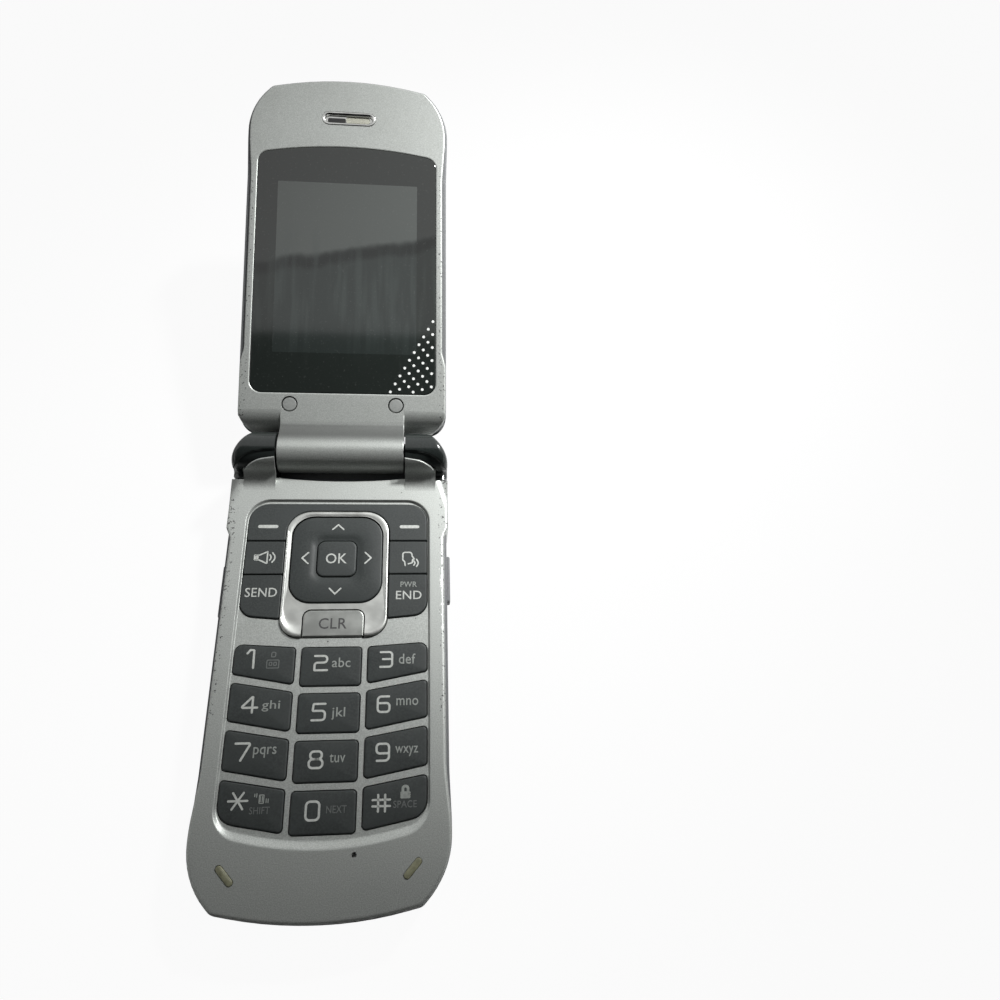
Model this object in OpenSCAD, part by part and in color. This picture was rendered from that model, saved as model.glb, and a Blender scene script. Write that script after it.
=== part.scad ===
// Flip phone, open. The origin is the middle of the base's flat back, +Z up,
// +Y towards the hinge, +X right. Sizes are in millimetres.

/* [Body] */
// Width of the phone
phone_w = 47; // [46:0.5:52]
// Hinge axis to the base's far end, also to the lid's tip
half_len = 93.4; // [93:0.2:99]
// Thickness of the base, back to key face
base_t = 10.2; // [10.2:0.1:12]
// Thickness of the lid
lid_t = 7; // [7:0.1:9]
// Space between the closed halves
close_gap = 0.4; // [0.3:0.05:0.8]
// Angle between the halves, fully open
open_angle = 161.6; // [120:0.5:165]
// Wall of the shells
wall = 1.2; // [1:0.05:1.4]
// How far the silver faces stand in from the dark sides
face_inset = 1.2; // [1:0.05:1.4]
// Thickness of the key face
face_plate = 1.2; // [1.1:0.05:1.4]

/* [Outline] */
// Length of the end's corner along the phone, before it is rounded
corner_len = 5.6; // [4:0.1:8]
// How far the corner comes in
corner_in = 5.3; // [4:0.1:6]
// Radius that takes the side round into the corner
corner_r = 15.5; // [12:0.5:16]
// Rise of the end's bow, before it is rounded
end_rise = 3.9; // [2.5:0.1:4.5]

/* [Hinge] */
// Height of the hinge axis over the key face
axis_rise = 0.9; // [0.8:0.05:1.2]
// Radius of the lid's barrel
barrel_r = 4.3; // [4.1:0.05:4.4]
// Width of a knuckle, with its gap to the barrel
knuckle_w = 9.75; // [9:0.25:11]
// Radius of the base's knuckles
knuckle_r = 4.7; // [4.5:0.05:4.8]
// Thickness of the silver ears on the knuckles
ear_skin = 0.5; // [0.4:0.05:0.6]
// Radius of the hinge cartridge
cartridge_r = 2.55; // [2.3:0.05:2.7]
// Radius of the cartridge's cam head
cam_r = 1.6; // [1.3:0.05:1.8]
// How deep the pivots stand in the knuckles
pivot_depth = 3.8; // [3:0.1:4.5]

/* [Keypad] */
// Space between the keys and the phone's side
key_margin = 4.62; // [4.4:0.02:5.4]
// Space between the key columns
column_gap = 1.26; // [1:0.05:1.6]
// Space between the number rows
row_gap = 1.5; // [1.3:0.05:2.2]
// Where the first number key begins, from the hinge
rows_top = 44.45; // [44.3:0.05:45]
// Foot of the last number row to the far end
end_margin = 14.45; // [14.2:0.05:16]
// Rise of the outer keys' outer edge
smile = 2.25; // [1:0.05:2.5]
// Rise of the first row's top edge
first_smile = 0.8; // [0.4:0.05:1.5]
// Key tops over the tray floor
key_stand = 0.4; // [0.3:0.02:0.45]
// Depth of the tray that holds the keys
tray_depth = 0.5; // [0.4:0.05:0.6]
// Space around each key
key_gap = 0.15; // [0.1:0.01:0.25]
// Travel of a key
key_travel = 0.3; // [0.2:0.02:0.35]

/* [Navigation] */
// Width of the bezel's rim beside the ring key
bezel_rim = 1.3; // [1:0.05:1.6]
// Hinge axis to the top of the bezel
bezel_top = 14; // [13.6:0.1:14.6]
// Hinge axis to the bottom of the bezel
bezel_bottom = 42.1; // [41.5:0.1:42.4]
// Bezel rim over the key face
bezel_rise = 0.15; // [0.05:0.01:0.2]
// Width of the ring key
ring_w = 18.9; // [17.5:0.1:19.2]
// Side of the middle key
ok_side = 8.15; // [7:0.05:9]

/* [Lid face] */
// Space between the window and the lid's side
window_margin = 2.7; // [2.5:0.1:4]
// Hinge axis to the window's lower edge
window_start = 13.95; // [13.5:0.05:15]
// Upper end of the window's sides to the lid's tip
window_end = 21.45; // [20:0.05:24]
// Bow of the window's upper edge, before it is rounded
window_bow = 3.8; // [3:0.1:4.5]
// Thickness of the window
window_t = 0.9; // [0.7:0.05:1]
// Window's side edge to the display's opening
screen_side = 3.8; // [3.2:0.1:6]
// Window's lower edge to the display's opening
screen_start = 8.95; // [8:0.05:12]
// Display's opening to the upper end of the window's sides
screen_end = 6.05; // [5:0.05:9]
// Length of the earpiece trim
earpiece_len = 12.6; // [9:0.1:14]
// Width of the earpiece trim
earpiece_w = 3.4; // [3:0.05:4.2]
// Earpiece to the lid's tip
earpiece_end = 11.3; // [10:0.1:13]

/* [Back] */
// Thickness of the battery cover
cover_t = 1.1; // [0.9:0.05:1.2]
// Hinge axis to the battery cover's upper edge
cover_start = 31; // [30:0.1:33]
// Space between the battery pack and the phone's side
pack_margin = 5.5; // [5:0.1:7]
// Space between the battery pack and the far end
pack_end = 9.8; // [9.6:0.1:14]
// Thickness of the battery pack
pack_t = 4.4; // [3.8:0.1:4.5]
// Thickness of the main board
board_t = 0.8; // [0.6:0.05:0.9]
// Radius of the headset plug's hole
jack_r = 1.28; // [1.2:0.01:1.8]

/* [Hidden] */
$fn = 32;

fit = 0.05;            // space between fixed pieces that nest
free = 0.3;            // space between pieces that pass each other
eps = 0.01;            // how far a cut runs past a face
half_w = phone_w / 2;
barrel_w = phone_w - 2 * knuckle_w;
hinge_y = half_len / 2;
hinge_z = base_t + axis_rise;
rest_lift = 180 - open_angle;
lid_face = axis_rise - close_gap;      // lid's inner face over the axis
lid_back = lid_face - lid_t;           // lid's outer face over the axis

// Heights in the base, from the back
seam_z = base_t - 2.6;                 // front shell sits on the rear shell
plate_z = base_t - tray_depth - face_plate;   // underside of the key face
tray_z = base_t - tray_depth;
board_top = seam_z - 0.1;
board_z = board_top - board_t;
dome_t = 0.25;
mat_z = board_top + dome_t;
mat_top = plate_z - 0.15;
key_top = tray_z + key_stand;
key_foot = mat_top + key_travel + 0.1;
stem_foot = mat_z + key_travel + 0.05;
stem_r = 1.3;
wing_z = 2.4;                          // foot of the front shell's full-width sides
wing_end = 18.6;                       // hinge axis to their lower end
side_t = wall + 0.4;                   // rear shell's wall, a seat for the front shell
floor_t = cover_t + 0.1;
bay_top = board_z - 0.1 - 0.6;         // ceiling of the battery bay
contact_len = 2.5;
pack_start = cover_start + 1 + contact_len + 0.1;
pack_w = phone_w - 2 * pack_margin;
pack_len = half_len - pack_end - pack_start;
bay_foot = pack_start + pack_len + 0.4;

// ---- outlines: corner lists of [x, y, radius], counterclockwise ----

function unit(v) = v / norm(v);

// The fillet of radius r at b, between the edges from a and to c
function fillet(a, b, c, r, n = 6) =
    let (u = unit(a - b), v = unit(c - b), half = acos(u * v) / 2,
         o = b + unit(u + v) * r / sin(half), s = b + u * r / tan(half) - o,
         e = b + v * r / tan(half) - o, from = atan2(s.y, s.x),
         turn = (atan2(e.y, e.x) - from + 540) % 360 - 180)
    [for (i = [0:n]) o + r * [cos(from + turn * i / n), sin(from + turn * i / n)]];

function flat(p) = [p.x, p.y];
function round_off(c, n = 6) = let (m = len(c))
    [for (i = [0:m - 1]) each c[i][2] > 0
        ? fillet(flat(c[(i + m - 1) % m]), flat(c[i]), flat(c[(i + 1) % m]), c[i][2], n)
        : [flat(c[i])]];

// Corners moved inward by d, with their fillets kept concentric
function inset(c, d) = let (m = len(c))
    [for (i = [0:m - 1])
        let (u = unit(flat(c[i]) - flat(c[(i + m - 1) % m])),
             v = unit(flat(c[(i + 1) % m]) - flat(c[i])),
             p = [-u.y, u.x], q = [-v.y, v.x], shift = (p + q) * d / (1 + p * q),
             convex = u.x * v.y - u.y * v.x >= 0)
        [c[i].x + shift.x, c[i].y + shift.y,
         c[i][2] == 0 ? 0 : max(c[i][2] + (convex ? -d : d), 0.1)]];

function flip_y(c) = [for (i = [len(c) - 1:-1:0]) [c[i].x, -c[i].y, c[i][2]]];
function flip_x(c) = [for (i = [len(c) - 1:-1:0]) [-c[i].x, c[i].y, c[i][2]]];
function block(x0, y0, x1, y1, r = 0) = [[x0, y0, r], [x1, y0, r], [x1, y1, r], [x0, y1, r]];

// Half of the phone, from the line y = start to the far end at half_len
// Radius of the bow that rounds a peak of this half width and rise, and what it takes off the peak
function bow_r(half, rise) = 0.86 * norm([half, rise]) * half / rise;
function bow_cut(half, rise) = bow_r(half, rise) * (1 / cos(atan2(rise, half)) - 1);

function half_outline(start, r_start) =
    let (x_in = half_w - corner_in, tip = half_len + bow_cut(x_in, end_rise),
         corner = tip - end_rise, side = corner - corner_len)
    [[half_w, start, r_start], [half_w, side, corner_r], [x_in, corner, 2],
     [0, tip, bow_r(x_in, end_rise)], [-x_in, corner, 2], [-half_w, side, corner_r],
     [-half_w, start, r_start]];

// ---- shared shapes ----

module at_hinge() { translate([0, hinge_y, 0]) children(); }
module in_lid() { translate([0, hinge_y, hinge_z]) rotate([rest_lift, 0, 0]) children(); }
module both_sides() { children(); mirror([1, 0, 0]) children(); }

module slab(corners, z0, z1) {
    translate([0, 0, z0]) linear_extrude(z1 - z0) polygon(round_off(corners));
}

// A solid with its edges rounded in steps: layers is a list of [from z, to z, inset]
module soft_slab(corners, layers) {
    hull() for (l = layers) slab(inset(corners, l[2]), l[0], l[1]);
}

module box(low, high) { translate(low) cube(high - low); }

// A round bar along X through [y, z]
module bar(x0, x1, r, y = 0, z = 0) {
    translate([x0, y, z]) rotate([0, 90, 0]) cylinder(h = x1 - x0, r = r);
}

// A side profile [y, z], drawn out along X
module profile_bar(x0, x1, points) {
    translate([x0, 0, 0]) rotate([90, 0, 90]) linear_extrude(x1 - x0) polygon(points);
}

// A slot or pill with round ends, along X
module pill(len, w, z0, z1) { slab(block(-len / 2, -w / 2, len / 2, w / 2, 0.499 * w), z0, z1); }

function arc(c, r, a0, a1, n = 8) =
    [for (i = [0:n]) c + r * [cos(a0 + (a1 - a0) * i / n), sin(a0 + (a1 - a0) * i / n)]];

// ---- outlines of the keypad, in the hinge's frame, y negative towards the end ----

keys_half = half_w - key_margin;
key_w = 2 * (keys_half - column_gap) / 3;
column_x = key_w / 2 + column_gap;
row_pitch = (half_len - end_margin - rows_top + row_gap) / 4;
number_key_h = row_pitch - row_gap;
first_foot = rows_top + number_key_h;
tray_half = keys_half + 0.55;
tray_top = -11.1;
tray_foot = 10.1 - half_len;           // at the middle, before it is rounded
tray_rise = 4.7;
tray = [[-tray_half, tray_top, 5], [-tray_half, tray_foot + tray_rise, 5.5], [0, tray_foot, 60],
        [tray_half, tray_foot + tray_rise, 5.5], [tray_half, tray_top, 5]];
cluster_top = tray_top - 1;
cluster_seams = [-20.9, -28.55, -38.2];
cluster = [[-keys_half, cluster_top, 4], [-keys_half, cluster_seams[2] + 0.8, 3],
           [0, cluster_seams[2] - 1, 0],
           [keys_half, cluster_seams[2] + 0.8, 3], [keys_half, cluster_top, 4]];
bezel_w = ring_w + 2 * bezel_rim;
bezel = [[-bezel_w / 2, -bezel_top, 5], [-bezel_w / 2, -bezel_bottom, 4],
         [bezel_w / 2, -bezel_bottom, 4], [bezel_w / 2, -bezel_top, 5]];
ring_top = bezel_top + 1.35;
ring = [[-ring_w / 2, -ring_top, 4.5], [-ring_w / 2, -34.8, 4.5],
        [ring_w / 2, -34.8, 4.5], [ring_w / 2, -ring_top, 4.5]];
nav_mid = [0, -25.03];
ok = block(-ok_side / 2, nav_mid.y - ok_side / 2, ok_side / 2, nav_mid.y + ok_side / 2, 1.6);
clear_top = -36.35;
clear = [[-6.15, clear_top, 1.6], [-6.15, -bezel_bottom, 0],
         [6.15, -bezel_bottom, 0], [6.15, clear_top, 1.6]];

// Outline of a number key: column -1, 0 or 1, row 0 to 3
key_round = 0.7;
first_row_extra = 0.25;
function number_key_outline(column, row) =
    let (foot = -first_foot - row * row_pitch,
         top = foot + number_key_h + (row == 0 ? first_row_extra : 0))
    column == 0
    ? block(-key_w / 2, foot, key_w / 2, top, key_round)
    : let (rise = row == 0 ? first_smile : smile, x1 = column_x + key_w,
           lift = row == 0 ? 0 : 0.35,
           right = [[column_x, foot + 0.4, key_round],
                    [x1, foot + 0.4 + smile, row == 3 ? 3.5 : key_round],
                    [x1, top + lift + (row == 0 ? rise : rise - 0.2), row == 0 ? 1.5 : key_round],
                    [column_x, top + lift, key_round]])
      column > 0 ? right : flip_x(right);
number_grid = [for (row = [0:3], column = [-1:1]) [column, row]];
function key_mid(column, row) = [column * (column_x + key_w / 2),
    -first_foot - row * row_pitch + number_key_h / 2 + abs(column) * smile / 2];

side_x = (keys_half + bezel_w / 2) / 2;
soft_mid_y = (cluster_top + cluster_seams[0]) / 2 - 0.4;
clear_mid = [0, -39.2];
cluster_stems = [[-side_x, soft_mid_y], [side_x, soft_mid_y], [-side_x, -24.7], [side_x, -24.7],
                 [-side_x, -33.2], [side_x, -33.2], nav_mid, clear_mid];

// ---- the base's shells ----

base_outline = flip_y(half_outline(7.5, 0));
full_outline = flip_y(half_outline(-knuckle_r - 0.2, 8));
screw_spots = [[half_w - 4.3, -10.8], [half_w - 6.2, -bay_foot - 2.4]];
function in_bay(s) = s.y < -cover_start;
function screw_foot(s) = in_bay(s) ? floor_t + 0.1 : 0.3;
function boss_foot(s) = in_bay(s) ? bay_top + 0.7 : floor_t + 0.9;
boss_r = 1.8;
screw_r = 0.68;
screw_head_r = 1.35;
screw_head_t = 0.7;

jack_mid = [-half_w, -15.8, 4.5];
side_key_z = [4.3, 6.5];
side_key_span = [-33.6, -22.9];
rocker_span = [-36.5, -25];
mic_mid = [5.92, 10.9 - half_len];
bumper_mid = [half_w - 7.15, 8.3 - half_len];
bumper_turn = 48.4;
port_gap = 0.12;
port_w = 10;
port_z = [3.2, 7.2];
port_t = 1.2;
usb_w = 7.6;
usb_h = 2.8;
speaker_mid = [half_w - 14.5, -19];
knuckle_foot = 3;
bush_r = 2.4;
flex_r = 1.6;
flex_t = 0.25;

// Ring sector and fillet that carry the silver face up onto a knuckle
ear_r = knuckle_r + fit + ear_skin;
ear_bend = 2.2;
ear_centre = [-sqrt(pow(ear_r + ear_bend, 2) - pow(ear_bend - axis_rise, 2)), base_t + ear_bend];
ear_lean = atan2(axis_rise - ear_bend, -ear_centre.x);
ear_top = 130;
function ear_profile(inner) = concat(
    [[ear_centre.x, plate_z]], arc(ear_centre, ear_bend, -90, ear_lean),
    arc([0, hinge_z], ear_r, 180 + ear_lean, ear_top),
    arc([0, hinge_z], inner, ear_top, 180 + asin((hinge_z - plate_z) / inner)));
ear_x = [barrel_w / 2 + free, half_w - 2.7];

module scoop(r) { bar(-ear_x[0], ear_x[0], r, 0, hinge_z); }

module soft_face(corners, foot) {
    soft_slab(corners, [[foot, base_t - 1.2, 0], [foot, base_t - 0.45, 0.22], [foot, base_t, 0.8]]);
}

module front_shell_outside() {
    soft_face(inset(base_outline, face_inset), seam_z);
    soft_face(block(-half_w, -wing_end, half_w, -7.5), wing_z);
    both_sides() profile_bar(ear_x[0], ear_x[1], ear_profile(knuckle_r + fit));
    box([-ear_x[1], -7.6, plate_z], [ear_x[1], ear_centre.x + eps, base_t]);
    box([-ear_x[0], -7.6, plate_z], [ear_x[0], -5.6, base_t]);
}

module front_housing() {
    color("silver") at_hinge() difference() {
        union() {
            difference() {
                front_shell_outside();
                slab(inset(base_outline, face_inset + wall), seam_z - eps, plate_z);
                box([-half_w + wall, -wing_end - 4, wing_z - eps],
                    [half_w - wall, -7.5 - eps - 1, plate_z]);
            }
            both_sides() for (s = screw_spots) translate([s.x, s.y, boss_foot(s)])
                cylinder(h = plate_z + 0.3 - boss_foot(s), r = boss_r);
        }
        slab(tray, tray_z, base_t + 1);
        slab(inset(cluster, -key_gap), plate_z - 1, base_t + 1);
        slab(inset(bezel, -key_gap), plate_z - 1, base_t + 1);
        for (g = number_grid)
            slab(inset(number_key_outline(g[0], g[1]), -key_gap), plate_z - 1, base_t + 1);
        translate([mic_mid.x, mic_mid.y, plate_z - 1]) cylinder(h = 3, r = 0.45);
        both_sides() translate([bumper_mid.x, bumper_mid.y, 0]) rotate(bumper_turn)
            pill(4.2 + 2 * fit, 1.25 + 2 * fit, base_t - 0.4, base_t + 1);
        both_sides() for (s = screw_spots)
            translate([s.x, s.y, 0]) cylinder(h = plate_z - 0.3, r = screw_r + 0.02);
        bar(jack_mid.x - 1, jack_mid.x + wall + eps, jack_r + 0.9, jack_mid.y, jack_mid.z);
        scoop(barrel_r + free + 0.6);
    }
}

module rear_shell_outside() {
    soft_slab(full_outline, [[2.2, seam_z - 0.5, 0], [1.1, seam_z, 0.3], [0.35, 3, 1], [0, 3, 2]]);
}

module rear_housing() {
    color("dimgray") at_hinge() difference() {
        union() {
            difference() {
                rear_shell_outside();
                // room for the board and the parts beside the battery
                slab(inset(base_outline, side_t), bay_top + 0.6, seam_z + 1);
                box([-half_w + side_t, -cover_start + 1.5, floor_t], [half_w - side_t, -7.4, seam_z]);
                both_sides() box([pack_w / 2 + 1.9, -bay_foot + 2, wing_z],
                                 [half_w - side_t, -cover_start + 2, seam_z]);
                box([-half_w + corner_in + 3, -half_len + 2.6, wing_z],
                    [half_w - corner_in - 3, -bay_foot - 1, seam_z]);
                box([-ear_x[0] + 1, -7.5, floor_t], [ear_x[0] - 1, knuckle_r - 1, 5]);
            }
            for (s = screw_spots) both_sides() translate([s.x, s.y, floor_t - eps])
                cylinder(h = boss_foot(s) - fit - floor_t + eps, r = boss_r + 0.4);
        }
        // battery cover and battery bay
        box([-phone_w, -half_len - 5, -1], [phone_w, -cover_start, floor_t]);
        box([-pack_w / 2 - 0.4, -bay_foot, 0], [pack_w / 2 + 0.4, -cover_start - 1, bay_top]);
        box([-7, -cover_start - 4, 0], [7, -cover_start - 1, bay_top + 1]);
        // full-width sides of the front shell, and what the hinge covers take
        box([-phone_w, -wing_end - fit, wing_z - fit], [phone_w, -7.4, base_t]);
        both_sides() box([ear_x[0] - 0.1, -7.4 - eps, knuckle_foot - fit], [phone_w, 20, base_t]);
        box([-phone_w, -7.4 - eps, 6.2], [phone_w, 20, base_t]);
        scoop(barrel_r + free);
        for (s = screw_spots) both_sides() {
            translate([s.x, s.y, boss_foot(s) - fit]) cylinder(h = 9, r = boss_r + fit);
            translate([s.x, s.y, -1]) cylinder(h = 12, r = screw_r + 0.07);
            translate([s.x, s.y, -1]) cylinder(h = 1 + screw_foot(s) + screw_head_t + fit,
                                               r = screw_head_r + fit);
        }
        side_cut(side_key_span);
        mirror([1, 0, 0]) side_cut(rocker_span);
        port_cut();
        for (i = [-2:2]) translate([speaker_mid.x + 2.2 * i, speaker_mid.y, 0]) rotate(90)
            pill(7 - 1.2 * abs(i), 1, -1, floor_t + 1);
        tongue(0.1, 0.5);
    }
}

// Slot for a side key that spans these lengths, on the right
module side_cut(span) {
    box([half_w - side_t - 1, span[0] - port_gap, side_key_z[0] - port_gap],
        [phone_w, span[1] + port_gap, side_key_z[1] + port_gap]);
}

module port_cut() {
    box([-port_w / 2 - port_gap, -phone_w * 3, port_z[0] - port_gap],
        [port_w / 2 + port_gap, -half_len + port_t + port_gap, port_z[1] + port_gap]);
    box([-usb_w / 2 - port_gap, -half_len, board_z - usb_h - port_gap],
        [usb_w / 2 + port_gap, -half_len + 5, board_z + port_gap]);
}

// The battery cover's tongue, which slips under the rear shell
module tongue(gap, above) {
    box([-4 - gap, -cover_start - 1, cover_t - 0.6 - gap],
        [4 + gap, -cover_start + 1.9 + gap, cover_t + above]);
}

module battery_cover() {
    color("gray") at_hinge() {
        difference() {
            intersection() {
                rear_shell_outside();
                box([-phone_w, -half_len - 1, -1], [phone_w, -cover_start - 0.1, cover_t]);
            }
            for (i = [0:4]) translate([0, -cover_start - 4 - 1.6 * i, 0])
                pill(16 - 1.6 * i, 0.7, -1, 0.3);
        }
        tongue(0, 0);
    }
}

// ---- inside the base ----

module battery_pack() {
    color("darkslateblue") at_hinge()
        slab(block(-pack_w / 2, -pack_start - pack_len, pack_w / 2, -pack_start, 1.5),
             floor_t + 0.1, floor_t + 0.1 + pack_t);
}

module battery_contacts() {
    color("gold") at_hinge() for (x = [-4, 0, 4])
        box([x - 0.8, -pack_start + 0.1, floor_t + 1.3], [x + 0.8, -cover_start - 1.2, board_z]);
}

module main_board() {
    color("darkgreen") at_hinge() difference() {
        slab(inset(base_outline, side_t + 0.15), board_z, board_top);
        both_sides() for (s = screw_spots)
            translate([s.x, s.y, board_z - 1]) cylinder(h = 3, r = boss_r + 0.15);
    }
}

module shield_can() {
    can = [[15 - half_w, -27.5, board_z - 1.9], [half_w - 7, -10, board_z]];
    color("lightgray") at_hinge() difference() {
        box(can[0], can[1]);
        box(can[0] + [0.3, 0.3, 0.3], can[1] + [-0.3, -0.3, 1]);
    }
}

mat_foot = first_foot + 3 * row_pitch + 1.4;
module dome_sheet() {
    color("white") at_hinge()
        slab(block(-keys_half - 0.2, -mat_foot + 0.2, keys_half + 0.2, -13.2, 1), board_top, mat_z);
}

module keypad_mat() {
    color("darkgray") at_hinge() difference() {
        slab(block(-keys_half - 0.3, -mat_foot, keys_half + 0.3, -13, 1), mat_z, mat_top);
        for (g = number_grid) stem_hole(key_mid(g[0], g[1]));
        for (s = cluster_stems) stem_hole(s);
    }
}

module stem_hole(p) { translate([p.x, p.y, mat_z - 1]) cylinder(h = 3, r = stem_r + 0.35); }

module stem(p, top) {
    translate([p.x, p.y, stem_foot]) cylinder(h = top - stem_foot, r = stem_r);
}

module nav_bezel() {
    color("gainsboro") at_hinge() difference() {
        slab(bezel, mat_top, base_t + bezel_rise);
        slab(inset(ring, -key_gap - 0.05), mat_top - 1, base_t + 1);
        slab(inset(clear, -key_gap), mat_top - 1, base_t + 1);
        // the bezel dips below its rim over the clear key
        slab([[-7.9, -36.2, 2.5], [-7.9, -bezel_bottom - 1, 0], [7.9, -bezel_bottom - 1, 0],
              [7.9, -36.2, 2.5]], tray_z + 0.15, base_t + 1);
    }
}

ring_foot = key_foot + 0.2;
pivot_z = mat_top + 0.12;
module nav_pivot_plate() {
    color("black") at_hinge() translate([nav_mid.x, nav_mid.y, pivot_z]) difference() {
        cylinder(h = 0.2, r = 4.2);
        translate([0, 0, -1]) cylinder(h = 3, r = 3.3);
    }
}

module nav_ring_key() {
    color("darkslategray") at_hinge() difference() {
        slab(ring, ring_foot, key_top + 0.05);
        slab(inset(ok, -key_gap), ring_foot - 1, base_t + 1);
    }
}

module ok_key() {
    color("darkslategray") at_hinge() {
        slab(ok, ring_foot + 0.15, key_top + 0.15);
        stem(nav_mid, ring_foot + 0.15);
    }
}

module clear_key() {
    color("gainsboro") at_hinge() {
        slab(clear, key_foot, tray_z + 0.25);
        stem(clear_mid, key_foot);
    }
}

// A key of the top cluster: what lies between two corners, clear of the bezel
module cluster_key(low, high) {
    color("darkslategray") at_hinge() {
        translate([0, 0, key_foot]) linear_extrude(key_top - key_foot) difference() {
            intersection() {
                polygon(round_off(cluster));
                translate(low) square(high - low);
            }
            polygon(round_off(inset(bezel, -key_gap)));
        }
        for (p = cluster_stems)
            if (abs(p.x) > 1 && p.x > low.x && p.x < high.x && p.y > low.y && p.y < high.y)
                stem(p, key_foot);
    }
}

seam = 0.1;
module soft_key_bar() { cluster_key([-phone_w, cluster_seams[0] + seam], [phone_w, 0]); }
module speaker_key() {
    cluster_key([-phone_w, cluster_seams[1] + seam], [-bezel_w / 2, cluster_seams[0] - seam]);
}
module voice_key() {
    cluster_key([bezel_w / 2, cluster_seams[1] + seam], [phone_w, cluster_seams[0] - seam]);
}
module send_key() { cluster_key([-phone_w, -50], [-bezel_w / 2, cluster_seams[1] - seam]); }
module end_key() { cluster_key([bezel_w / 2, -50], [phone_w, cluster_seams[1] - seam]); }

module number_key(column, row) {
    color("darkslategray") at_hinge() {
        slab(number_key_outline(column, row), key_foot, key_top);
        stem(key_mid(column, row), key_foot);
    }
}

module key_1() { number_key(-1, 0); }
module key_2() { number_key(0, 0); }
module key_3() { number_key(1, 0); }
module key_4() { number_key(-1, 1); }
module key_5() { number_key(0, 1); }
module key_6() { number_key(1, 1); }
module key_7() { number_key(-1, 2); }
module key_8() { number_key(0, 2); }
module key_9() { number_key(1, 2); }
module key_star() { number_key(-1, 3); }
module key_0() { number_key(0, 3); }
module key_hash() { number_key(1, 3); }

// A side key on the right: cap through the wall, flange behind it
module side_button(span) {
    color("gray") at_hinge() {
        box([half_w - side_t - 0.5, span[0], side_key_z[0]],
            [half_w + 0.4, span[1], side_key_z[1]]);
        box([half_w - side_t - 0.9, span[0] - 0.7, side_key_z[0] - 0.7],
            [half_w - side_t - free, span[1] + 0.7, side_key_z[1] + 0.05]);
    }
}

module side_key() { side_button(side_key_span); }
module volume_rocker() { mirror([1, 0, 0]) side_button(rocker_span); }

module port_cover() {
    color("dimgray") at_hinge() intersection() {
        rear_shell_outside();
        box([-port_w / 2, -half_len - 1, port_z[0]],
            [port_w / 2, -half_len + port_t, port_z[1]]);
    }
}

module usb_socket() {
    low = [-usb_w / 2, -half_len + port_t + 0.15, board_z - usb_h];
    high = [usb_w / 2, -half_len + port_t + 0.15 + 5, board_z];
    color("lightgray") at_hinge() {
        difference() {
            box(low, high);
            box(low + [0.3, -1, 0.3], high - [0.3, 0.5, 0.3]);
        }
        box([-2.6, low.y + 1, board_z - usb_h / 2 - 0.35],
            [2.6, high.y - 0.4, board_z - usb_h / 2 + 0.35]);
    }
}

module headset_jack() {
    color("black") at_hinge() difference() {
        box([-half_w + wall + 0.2, jack_mid.y - 2.4, wing_z],
            [-half_w + wall + 12, jack_mid.y + 2.4, board_z]);
        bar(-half_w, -half_w + wall + 11.3, jack_r, jack_mid.y, jack_mid.z);
    }
}

module base_screws() {
    color("silver") at_hinge() both_sides() for (s = screw_spots)
        translate([s.x, s.y, screw_foot(s)]) {
            cylinder(h = screw_head_t, r = screw_head_r);
            cylinder(h = plate_z - 0.5 - screw_foot(s), r = screw_r);
        }
}

module rubber_bumpers() {
    color("darkkhaki") at_hinge() both_sides()
        translate([bumper_mid.x, bumper_mid.y, 0]) rotate(bumper_turn)
            pill(4.2, 1.25, base_t - 0.4, base_t + close_gap - 0.1);
}

module microphone() {
    color("silver") at_hinge() translate([mic_mid.x, mic_mid.y, board_top])
        cylinder(h = plate_z - 0.1 - board_top, r = 1.9);
}

module loudspeaker() {
    color("black") at_hinge() translate([speaker_mid.x, speaker_mid.y, floor_t])
        cylinder(h = 3.3, r = 7.2);
}

motor_r = 2;
motor_mid = [-24.5, floor_t + motor_r];
motor_face = 11.5 - half_w;            // the can's end, where the shaft comes out
weight_x = [motor_face + free, motor_face + 2.7];
shaft_r = 0.4;
module vibration_motor() {
    color("silver") at_hinge() {
        bar(motor_face - 8, motor_face, motor_r, motor_mid[0], motor_mid[1]);
        bar(motor_face - eps, weight_x[1] + 0.1, shaft_r, motor_mid[0], motor_mid[1]);
    }
}

module eccentric_weight() {
    color("darkgoldenrod") at_hinge() difference() {
        bar(weight_x[0], weight_x[1], motor_r - free, motor_mid[0], motor_mid[1]);
        bar(motor_face, weight_x[1] + 1, shaft_r + fit, motor_mid[0], motor_mid[1]);
        box([motor_face, motor_mid[0] - 4, motor_mid[1] + 0.6],
            [weight_x[1] + 1, motor_mid[0] + 4, 10]);
    }
}

module antenna_carrier() {
    color("ivory") at_hinge()
        box([-ear_x[0] + 1.5, -6.8, floor_t], [ear_x[0] - 1.5, knuckle_r - 1.3, 4.8]);
}

// ---- the hinge ----

module knuckle_block(x, y, z) {
    intersection() {
        slab(full_outline, z[0], z[1]);
        box([x, y[0], z[0]], [phone_w, y[1], z[1]]);
    }
}

module hinge_cover(bore_r) {
    color("black") difference() {
        union() {
            knuckle_block(ear_x[0], [-7.3, 20], [knuckle_foot, plate_z - fit]);
            knuckle_block(ear_x[1] + 0.1, [-7.3, 20], [plate_z - 1, base_t]);
            knuckle_block(ear_x[0], [0, knuckle_r], [plate_z - 1, hinge_z]);
            hull() {
                bar(ear_x[0], half_w - 6, knuckle_r, 0, hinge_z);
                bar(half_w - 2.7, half_w - 2.6, knuckle_r - 0.5, 0, hinge_z);
                bar(half_w - 0.9, half_w - 0.8, knuckle_r - 1.4, 0, hinge_z);
                bar(half_w - 0.1, half_w, knuckle_r - 2.4, 0, hinge_z);
            }
        }
        bar(ear_x[0] - 1, barrel_w / 2 + pivot_depth + 0.2, bore_r, 0, hinge_z);
    }
}

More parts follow.
